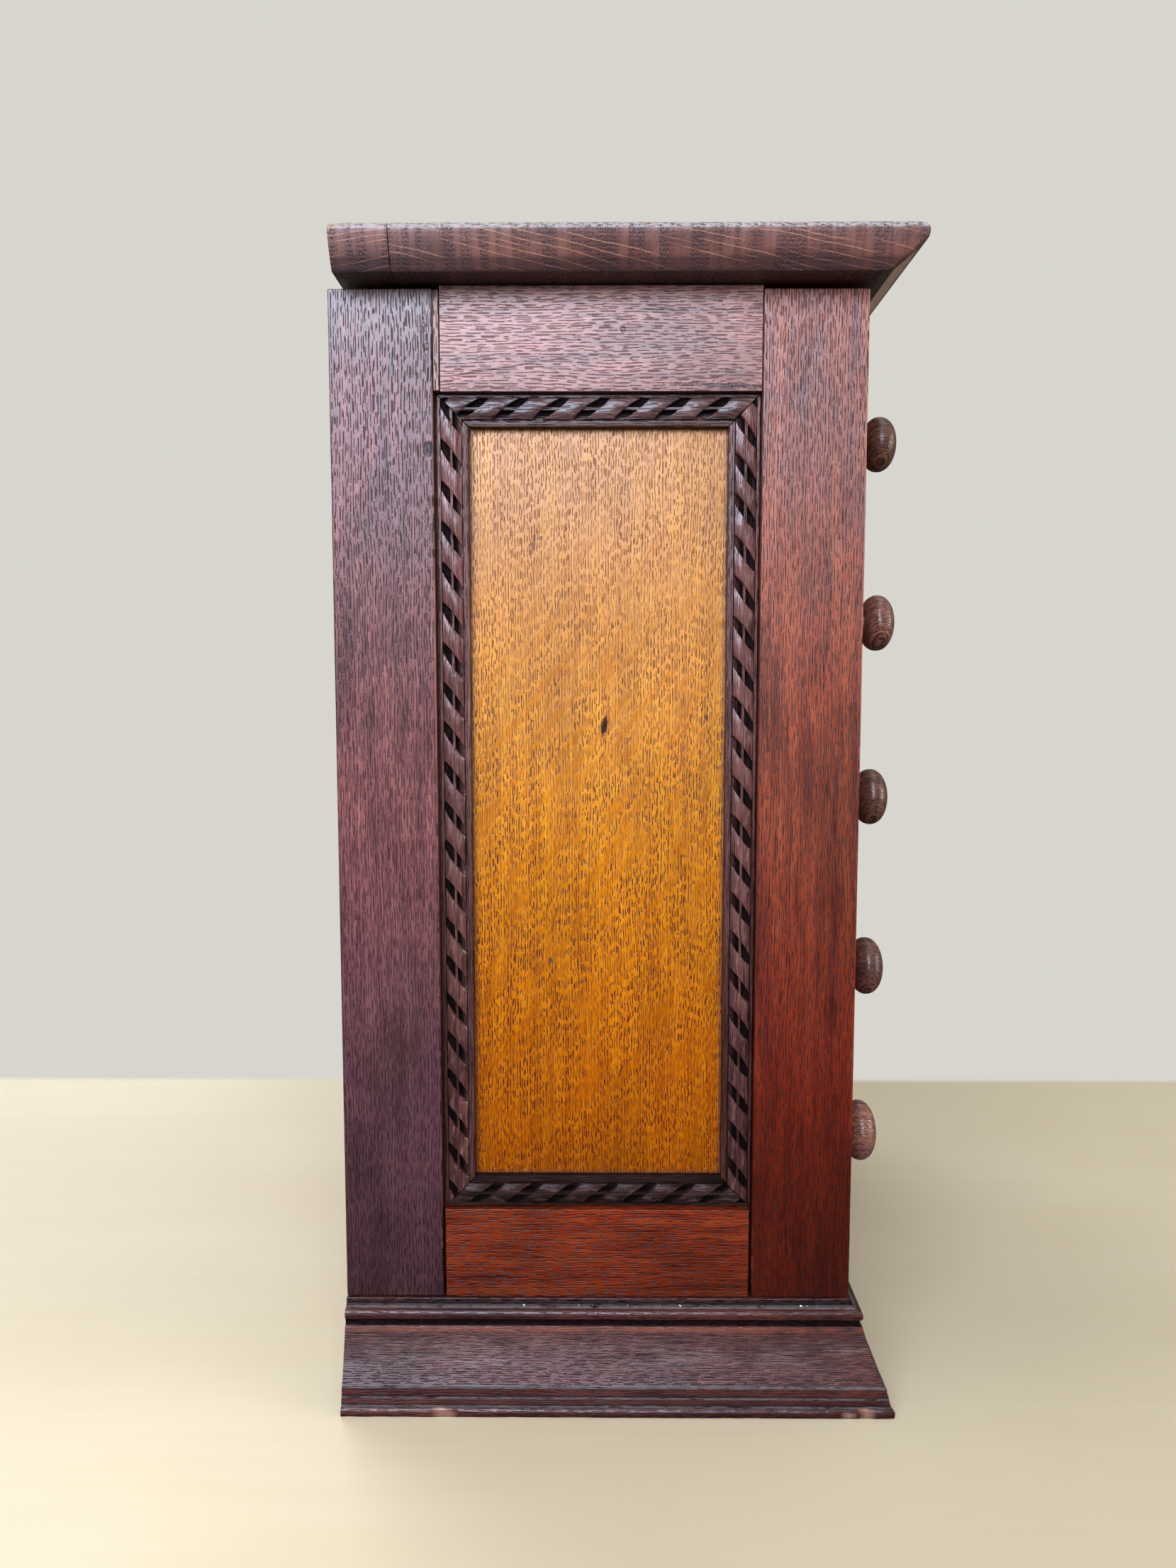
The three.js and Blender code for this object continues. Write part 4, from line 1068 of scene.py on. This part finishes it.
def top_board(name, y_front_of, y_rear, radius, seed, chips=()):
    """Lofts a board of the top through its levels, with wear on its outer edges."""
    end, _ = top_profiles()
    rings = []
    for level in TOP_LEVELS:
        half = HALF_WIDTH + reach_at(end, level)
        edge = max(0.0, 1 - abs(level - TOP_FACE) / 3.5) + 0.25
        ring = []
        for x, y in top_ring(half, y_front_of(level), y_rear, radius):
            inward = edge * 0.35 * max(0.0, wobble((x, y, level * 2), 8, seed) + 0.2)
            for centre, size, depth in chips:
                near = (Vector((x, y, level)) - Vector(centre)).length / size
                inward += depth * max(0.0, 1 - near * near)
            at_end = abs(x) > half - 2.2
            at_front = y < y_front_of(level) + 2.2 and radius > 0
            ring.append((x - math.copysign(inward, x) * at_end, y + inward * at_front, level))
        rings.append(ring)
    bm = bm_from_rings(rings)
    grime_and_shade = bm.verts.layers.float.new("grime_and_shade")
    worn = bm.verts.layers.float.new("wear_and_highlight")
    for vert in bm.verts:
        # Painted shade: the underside is marked to be painted dark.
        if vert.co.z < CARCASS_TOP + 0.5:
            vert[grime_and_shade] = 0.7
        if any((vert.co - Vector(centre)).length < size for centre, size, _ in chips):
            vert[worn] = 1.0
    add_piece(f"{name}_wood", bm, OAK_TOP, stands_for=[name])


def top_boards():
    _, front = top_profiles()
    gap = JOINT_GAP / 2
    rear_corner = (-HALF_WIDTH - 16.2, TOP_REAR - 0.2, TOP_FACE - 0.4)
    top_board("top_board", lambda z: FRONT - reach_at(front, z), TOP_JOINT - gap, 1.6, 3.0)
    top_board("top_rear_strip", lambda z: TOP_JOINT + gap, TOP_REAR, 0.0, 9.0, [(rear_corner, 1.6, 0.8)])


# ---------------------------------------------------------------- plinth

def plinth_profile():
    """Overhang and height, from the inner edge at the floor, up and over the mouldings, and down."""
    points = [(-PLINTH_INSET, 0.0), (-PLINTH_INSET, PLINTH_TOP), (0.7, PLINTH_TOP), (0.9, PLINTH_TOP - 0.2),
              (1.1, 32.9), (1.3, 32.6), (2.5, 32.0)]
    points += quadratic((2.5, 32.0), (4.2, 32.0), (4.2, 30.3), 6)
    points += quadratic((4.2, 30.3), (4.2, 28.9), (3.3, 28.7), 5)
    points += [(3.15, 28.5), (3.1, 27.1), (3.25, 26.85), (3.95, 26.7), (4.1, 26.5)]
    points += quadratic((4.1, 26.5), (6.4, 18), (10.2, 9.45), 12)
    points += [(10.35, 9.2), (10.8, 9.0), (10.95, 8.75), (11.1, 6.1), (11.2, 5.8), (11.55, 5.65),
               (11.65, 5.4), (11.8, 3.7), (11.9, 3.35), (12.3, 3.2)]
    points += quadratic((12.3, 3.2), (13.6, 2.6), (13.3, 1.2), 6)
    return points + [(13.15, 0.4), (12.8, 0.0)]


def plinth_wear(overhang, height, along, seed, chips):
    """How far a point of the plinth is pulled in."""
    if overhang < 1.2:
        return 0.0
    amount = 0.1 * max(0.0, wobble((along, height, overhang), 9, seed))
    if height < 3.3:
        amount += 0.45 * max(0.0, wobble((along, height * 2, 0), 6, seed + 2) - 0.1)
    if 28.9 < height < 32.2:
        amount += 0.15 * max(0.0, wobble((along, height, 0), 12, seed + 4))
    for place, level, size, depth in chips:
        near = math.hypot(along - place, height - level) / size
        amount += depth * max(0.0, 1 - near * near)
    return amount


def plinth_grime_and_shade(overhang, height):
    """Painted shade, with some dirt, in the quirk, on the ledge at the carcass and in the corners of the
    steps.
    """
    if 26.8 < height < 28.8 and overhang < 3.4:
        return 0.97
    if height > 32.5 and overhang > 0.8:
        return 0.75
    in_step = 9.0 <= height <= 9.3 or 5.5 <= height <= 5.9 or 3.1 < height < 3.5
    return 0.5 if in_step else 0.0


def plinth_moulding(name, material, point_at, length_at, seed, chips, spacing=3.0):
    """Sweeps the plinth's profile, with chips as (place along, height, radius, depth).

    point_at(overhang, along) gives x and y, and length_at(overhang) where the mitres cut that line.
    """
    profile = plinth_profile()
    longest = max(abs(b - a) for a, b in (length_at(s) for s, _ in profile))
    stations = round(longest / spacing)
    rings = []
    attributes = []
    for station in range(stations + 1):
        ring = []
        for overhang, height in profile:
            start, end = length_at(overhang)
            along = start + (end - start) * station / stations
            pulled = plinth_wear(overhang, height, along, seed, chips)
            ring.append((*point_at(overhang - pulled, along), height))
            chipped = any(math.hypot(along - p, height - z) < r * 0.8 for p, z, r, _ in chips)
            attributes.append((plinth_grime_and_shade(overhang, height), float(chipped and overhang > 1.2)))
        rings.append(ring)
    bm = bm_from_rings(rings)
    grime_and_shade = bm.verts.layers.float.new("grime_and_shade")
    wear_and_highlight = bm.verts.layers.float.new("wear_and_highlight")
    for vert, values in zip(bm.verts, attributes):
        vert[grime_and_shade], vert[wear_and_highlight] = values
    add_piece(f"{name}_moulded", bm, material, stands_for=[name])


def plinth():
    def side_line(overhang):
        return REAR, FRONT - overhang + MITRE_GAP

    def front_line(overhang):
        reach = HALF_WIDTH + overhang - MITRE_GAP
        return -reach, reach

    left_chips = [(64.0, 1.6, 2.2, 0.7), (59.0, 1.2, 1.6, 0.6), (-79.5, 1.8, 2.4, 0.9),
                  (-73.0, 1.2, 1.3, 0.5), (31.0, 2.4, 1.2, 0.4)]
    right_chips = [(40.0, 1.6, 2.4, 0.7), (-60.0, 1.4, 1.8, 0.6)]
    front_chips = [(-131.0, 1.5, 2.5, 0.8), (62.0, 1.6, 2.0, 0.6), (128.5, 1.8, 2.6, 0.8)]
    plinth_moulding(
        "plinth_left", OAK_PLINTH_SIDE, lambda s, a: (-HALF_WIDTH - s, a), side_line, 2.0, left_chips)
    plinth_moulding(
        "plinth_right", OAK_PLINTH_SIDE, lambda s, a: (HALF_WIDTH + s, a), side_line, 6.0, right_chips)
    plinth_moulding(
        "plinth_front", OAK_PLINTH_FRONT, lambda s, a: (a, FRONT - s), front_line, 11.0, front_chips)
    worn_copy("plinth_rear", PINE_CROSS)


# ---------------------------------------------------------------- back and inside

def bm_dome(centre, axis, radius, rise, profile, count, lump=lambda: 1.0, squash=1.0):
    """A low dome on a surface, through a profile of (share of radius, share of rise).

    lump() varies each point's distance from the middle, and `squash` narrows one way across.
    """
    outward = Vector(axis).normalized()
    side = outward.orthogonal().normalized()
    up = outward.cross(side) * squash
    rings = []
    for share, level in profile:
        ring = []
        for step in range(count):
            angle = 2 * math.pi * step / count
            offset = (side * math.cos(angle) + up * math.sin(angle)) * lump()
            ring.append(Vector(centre) + offset * radius * share + outward * rise * level)
        rings.append(ring)
    return bm_from_rings(rings)


def back_boards():
    """Three upright boards with open joints stand for the CAD back board, and nails hold them."""
    low, high = box_mm("back_board")
    width = (high.x - low.x) / 3
    nail_profile = ((1.0, -0.3), (1.0, 0.35), (0.86, 0.7), (0.5, 0.95), (0.12, 1.0))
    nails = bmesh.new()
    for number in range(3):
        x0 = low.x + number * width + (0.2 if number else 0.0)
        x1 = low.x + (number + 1) * width - (0.2 if number < 2 else 0.0)
        bm = wear_edges(bm_box((x0, low.y, low.z), (x1, high.y, high.z)), 0.5, 0.2, 9, number + 40)
        add_piece(f"back_board_{number + 1}", bm, PINE_UPRIGHT, stands_for=["back_board"])
        for z in (low.z + 5, 120.0, 205.0, 290.0, high.z - 6):
            for spot in ((x0 + 6, high.y, z), (x1 - 6, high.y, z + 1.5)):
                merge_into(nails, bm_dome(spot, (0, 1, 0), 1.1, 0.35, nail_profile, 12))
    add_piece("back_nails", nails, IRON, even_shading=False)


def inside_boards():
    back_boards()
    worn_copy("top_front_rail", OAK_CROSS)
    worn_copy("bottom_front_rail", OAK_CROSS)
    worn_copy("top_rear_rail", PINE_CROSS)
    worn_copy("bottom_board", PINE_CROSS)
    for number in range(1, DRAWER_COUNT):
        worn_copy(f"dust_board_{number}", OAK_CROSS, bevel=0.4)


# ---------------------------------------------------------------- drawers

def tail_places():
    """Middle heights of the dovetails, in the drawer's own frame."""
    pitch = (LINING_TOP - DRAWER_FLOOR) / DOVETAILS
    return [DRAWER_FLOOR + pitch * (number + 0.5) for number in range(DOVETAILS)]


def side_outline():
    """A drawer side seen from outside, as y and z: dovetails at both ends."""
    front_root = FRONT_THICKNESS + TAIL_GAP
    front_tip = DOVETAIL_LAP + TAIL_GAP
    rear_root = DRAWER_LENGTH - BACK_LINING - TAIL_GAP
    points = [(front_root, DRAWER_FLOOR)]
    for z in tail_places():
        points += [(front_root, z - TAIL_ROOT_HALF), (front_tip, z - TAIL_TIP_HALF),
                   (front_tip, z + TAIL_TIP_HALF), (front_root, z + TAIL_ROOT_HALF)]
    points += [(front_root, LINING_TOP), (rear_root, LINING_TOP)]
    for z in reversed(tail_places()[1:]):
        points += [(rear_root, z + TAIL_ROOT_HALF), (DRAWER_LENGTH, z + TAIL_TIP_HALF),
                   (DRAWER_LENGTH, z - TAIL_TIP_HALF), (rear_root, z - TAIL_ROOT_HALF)]
    return points + [(rear_root, BOTTOM_UPPERSIDE), (DRAWER_LENGTH, BOTTOM_UPPERSIDE),
                     (DRAWER_LENGTH, DRAWER_FLOOR)]


def tail_cutters(y_root, y_tip):
    """Sockets for the dovetails at both ends of a board that runs across the drawer."""
    cutter = bmesh.new()
    y_open = y_root + math.copysign(0.5, y_root - y_tip)
    root = TAIL_ROOT_HALF + TAIL_GAP
    tip = TAIL_TIP_HALF + TAIL_GAP
    for side in (-1, 1):
        xs = sorted((side * (DRAWER_HALF_WIDTH - LINING - TAIL_GAP), side * (DRAWER_HALF_WIDTH + 1)))
        for z in tail_places():
            outline = [(y_open, z - root), (y_tip, z - tip), (y_tip, z + tip), (y_open, z + root)]
            merge_into(cutter, bm_prism(outline, "x", *xs))
    return cutter


def bm_cylinder_y(x, radius, y0, y1, count=24):
    turns = [2 * math.pi * i / count for i in range(count)]
    circle = [(x + radius * math.cos(turn), radius * math.sin(turn)) for turn in turns]
    return bm_prism(circle, "y", y0, y1)


def bottom_groove():
    reach = DRAWER_HALF_WIDTH - LINING + 2.1
    return bm_box((-reach, FRONT_THICKNESS - 2.3, BOTTOM_UNDERSIDE - 0.1),
                  (reach, DRAWER_LENGTH + 1, BOTTOM_UPPERSIDE + 0.1))


def drawer_front_bmesh():
    board = bm_box((-DRAWER_HALF_WIDTH, 0, DRAWER_FLOOR),
                   (DRAWER_HALF_WIDTH, FRONT_THICKNESS, -DRAWER_FLOOR))
    cutter = tail_cutters(FRONT_THICKNESS, DOVETAIL_LAP)
    merge_into(cutter, bottom_groove())
    for side in (-1, 1):
        merge_into(cutter, bm_cylinder_y(side * KNOB_OFFSET, SPIGOT_RADIUS + 0.15, -1, FRONT_THICKNESS + 1))
    return bm_minus(board, cutter)


def drawer_side_bmesh(side):
    xs = sorted((side * (DRAWER_HALF_WIDTH - LINING), side * DRAWER_HALF_WIDTH))
    return bm_minus(bm_prism(side_outline(), "x", *xs), bottom_groove())


def drawer_back_bmesh():
    board = bm_box((-DRAWER_HALF_WIDTH, DRAWER_LENGTH - BACK_LINING, BOTTOM_UPPERSIDE + 0.05),
                   (DRAWER_HALF_WIDTH, DRAWER_LENGTH, LINING_TOP - 1.0))
    return bm_minus(board, tail_cutters(DRAWER_LENGTH - BACK_LINING, DRAWER_LENGTH + 0.1))


def drawer_bottom_bmesh():
    reach = DRAWER_HALF_WIDTH - LINING + 2
    return bm_box((-reach, FRONT_THICKNESS - 2, BOTTOM_UNDERSIDE),
                  (reach, DRAWER_LENGTH - 0.3, BOTTOM_UPPERSIDE))


def knob_profile(diameter):
    """Radius and distance out from the drawer front, from the spigot's end to the knob's nose."""
    head_radius = diameter / 2
    centre = KNOB_REACH - KNOB_HALF_LENGTH
    points = [(0.4, SPIGOT_END), (SPIGOT_RADIUS, SPIGOT_END), (SPIGOT_RADIUS, 0.1), (6.0, 0.12), (6.2, 0.35),
              (6.2, 1.1), (5.95, 1.4)]
    start = -math.acos(KNOB_NECK / head_radius)
    points += quadratic((5.95, 1.4), (3.9, 3.4), (KNOB_NECK, centre + KNOB_HALF_LENGTH * math.sin(start)), 8)
    bulge = 2 / 2.2
    steps = 26
    for step in range(1, steps + 1):
        angle = start + (math.pi / 2 - start) * step / steps
        cosine, sine = math.cos(angle), math.sin(angle)
        out = KNOB_HALF_LENGTH * math.copysign(abs(sine) ** bulge, sine)
        points.append((max(0.05, head_radius * abs(cosine) ** bulge), centre + out))
    return points


def knob_bmesh(diameter, seed):
    """A hand-turned knob on the y axis, a little out of true and with fine tool lines."""
    rings = []
    for radius, out in knob_profile(diameter):
        ring = []
        for i in range(KNOB_SEGMENTS):
            angle = 2 * math.pi * i / KNOB_SEGMENTS
            direction = Vector((math.cos(angle), 0, math.sin(angle)))
            uneven = 0.0
            if out > 3:
                uneven = 0.012 * radius * wobble(direction * 3 + Vector((0, out / 4, 0)), 3, seed) - 0.06
                uneven += 0.02 * math.sin(out * 9 + seed)
            ring.append(direction * max(0.04, radius + uneven) + Vector((0, -out, 0)))
        rings.append(ring)
    bm = bm_from_rings(rings)
    grime_and_shade = bm.verts.layers.float.new("grime_and_shade")
    # Painted shade at the neck and spigot, next to the drawer front.
    for vert in bm.verts:
        if -5.5 < vert.co.y:
            vert[grime_and_shade] = 0.9
        elif -8.5 < vert.co.y:
            vert[grime_and_shade] = 0.45
    return bm


def drawer(number):
    name = f"drawer_{number}"
    place = Vector((0, FRONT + DRAWER_SETBACKS[number - 1],
                    LOWEST_DRAWER_CENTRE + (DRAWER_COUNT - number) * DRAWER_PITCH))

    def add(suffix, bm, material, node, softness=0.2, aside=0.0):
        """Adds a piece in the drawer's own frame, with its sharp edges softened."""
        bmesh.ops.translate(bm, vec=place + Vector((aside, 0, 0)), verts=bm.verts)
        piece = add_piece(
            f"{name}_{suffix}", bm, material, body=name, stands_for=[f"{name}_{node}"])
        if softness:
            bevel = piece.modifiers.new("soft_edges", "BEVEL")
            bevel.width = softness * MM
            bevel.segments = 2
            bevel.limit_method = "ANGLE"
            bevel.angle_limit = math.radians(40)
            piece.modifiers.move(len(piece.modifiers) - 1, 0)

    add("front_board", drawer_front_bmesh(), OAK_DRAWER_FRONT, "front", 0.4)
    add("left_side", drawer_side_bmesh(-1), LINING_SIDE, "box")
    add("right_side", drawer_side_bmesh(1), LINING_SIDE, "box")
    add("back", drawer_back_bmesh(), LINING_BACK, "box")
    add("floor", drawer_bottom_bmesh(), LINING_BOTTOM, "bottom")
    for side_name, side in (("left", -1), ("right", 1)):
        knob = knob_bmesh(KNOB_DIAMETERS[number - 1], number * 3.3 + side)
        add(f"{side_name}_knob", knob, OAK_KNOB, f"knob_{side_name}", 0, side * KNOB_OFFSET)


# ---------------------------------------------------------------- paint flecks

def paint_flecks():
    """Specks of old white paint and plaster caught on the ledges of the left side."""
    draw = random.Random(SEED)
    spots = []
    for _ in range(11):
        spots.append(((-HALF_WIDTH - 1.5, draw.uniform(-70, 92), 32.75), 0.32, (-0.5, 0, 1)))
    for _ in range(9):
        y = draw.uniform(-30, 50)
        spots.append(((-HALF_WIDTH + 6.35, y, 76.6 + draw.uniform(0, 1.2)), 0.3, (-1, 0, 0)))
    profile = ((1.0, -0.3), (0.9, 0.25), (0.4, 0.45))
    bm = bmesh.new()
    for centre, size, axis in spots:
        radius = size * draw.choice((0.3, 0.4, 0.5, 0.6, 1.3))
        fleck = bm_dome(
            centre, axis, radius, radius, profile, 7, lambda: 1 + 0.35 * draw.uniform(-1, 1), squash=0.7)
        merge_into(bm, fleck)
    add_piece("paint_flecks", bm, PAINT, even_shading=False)


# ---------------------------------------------------------------- stage, light and camera

def stage():
    bm = bmesh.new()
    bmesh.ops.create_grid(bm, x_segments=2, y_segments=2, size=6)
    mesh = mesh_from(bm, "floor")
    mesh.materials.append(pale_floor())
    floor = add_object("floor", mesh)
    floor.visible_diffuse = False
    floor.visible_glossy = False


def turn_towards(thing, direction):
    thing.rotation_euler = Vector(direction).to_track_quat("-Z", "Y").to_euler()


def area_light(name, place, target, size, power, colour):
    light = bpy.data.lights.new(name, "AREA")
    light.shape = "RECTANGLE"
    light.size, light.size_y = size
    light.energy = power
    light.color = colour
    lamp = add_object(name, light)
    lamp.location = place
    turn_towards(lamp, Vector(target) - Vector(place))
    lamp.visible_camera = False
    return lamp


def lights():
    # A broad window behind the camera lights the wood. Its bluish glint on the varnish comes from
    # higher up and from the left, and is a light of its own.
    window = area_light("window", (-1.5, 0.25, 0.78), (0, 0, 0.2), (1.5, 1.1), 37, (1.0, 0.97, 0.95))
    window.visible_glossy = False
    glint = area_light("glint", (-1.45, 0.58, 1.06), (0, 0.1, 0.3), (1.7, 1.15), 62, (0.74, 0.88, 1.12))
    glint.visible_diffuse = False
    area_light("ceiling", (0.1, 0.0, 2.4), (0.1, 0, 0), (2.4, 2.4), 22, (1.0, 0.98, 0.94))
    area_light("front_fill", (-0.5, -1.7, 0.5), (0, 0, 0.25), (1.2, 1.0), 20, (1.0, 0.96, 0.9))
    area_light("back_fill", (1.3, 1.0, 0.9), (0, 0, 0.2), (1.2, 1.0), 18, (1.0, 0.98, 0.95))


def backdrop():
    """What the camera sees is an even colour; what lights the object is dim below the horizon."""
    world = bpy.data.worlds.new("studio")
    bpy.context.scene.world = world
    world.use_nodes = True
    tree = world.node_tree
    tree.nodes.clear()

    def node(kind, **inputs):
        added = tree.nodes.new("ShaderNode" + kind)
        for key, value in inputs.items():
            added.inputs[key.replace("_", " ")].default_value = value
        return added

    path = node("LightPath")
    coords = node("TexCoord")
    axes = node("SeparateXYZ")
    sky = node("MapRange", From_Min=-0.25, From_Max=0.9, To_Min=0.1, To_Max=0.5)
    strength = node("MapRange")
    background = node("Background", Color=(*BACKDROP, 1.0))
    output = node("OutputWorld")
    tree.links.new(coords.outputs["Generated"], axes.inputs[0])
    tree.links.new(axes.outputs[2], sky.inputs["Value"])
    tree.links.new(sky.outputs[0], strength.inputs["To Min"])
    tree.links.new(path.outputs["Is Camera Ray"], strength.inputs["Value"])
    tree.links.new(strength.outputs[0], background.inputs["Strength"])
    tree.links.new(background.outputs[0], output.inputs[0])
    bpy.context.scene.view_settings.view_transform = "Standard"


def camera():
    data = bpy.data.cameras.new("camera")
    data.lens = LENS
    data.sensor_width = 36
    data.clip_start = 0.01
    eye = add_object("camera", data)
    eye.location = EYE
    turn_towards(eye, GAZE)
    bpy.context.scene.camera = eye


side_frames()
rope_mouldings()
top_boards()
plinth()
inside_boards()
for drawer_number in range(1, DRAWER_COUNT + 1):
    drawer(drawer_number)
paint_flecks()
stage()
lights()
backdrop()
camera()
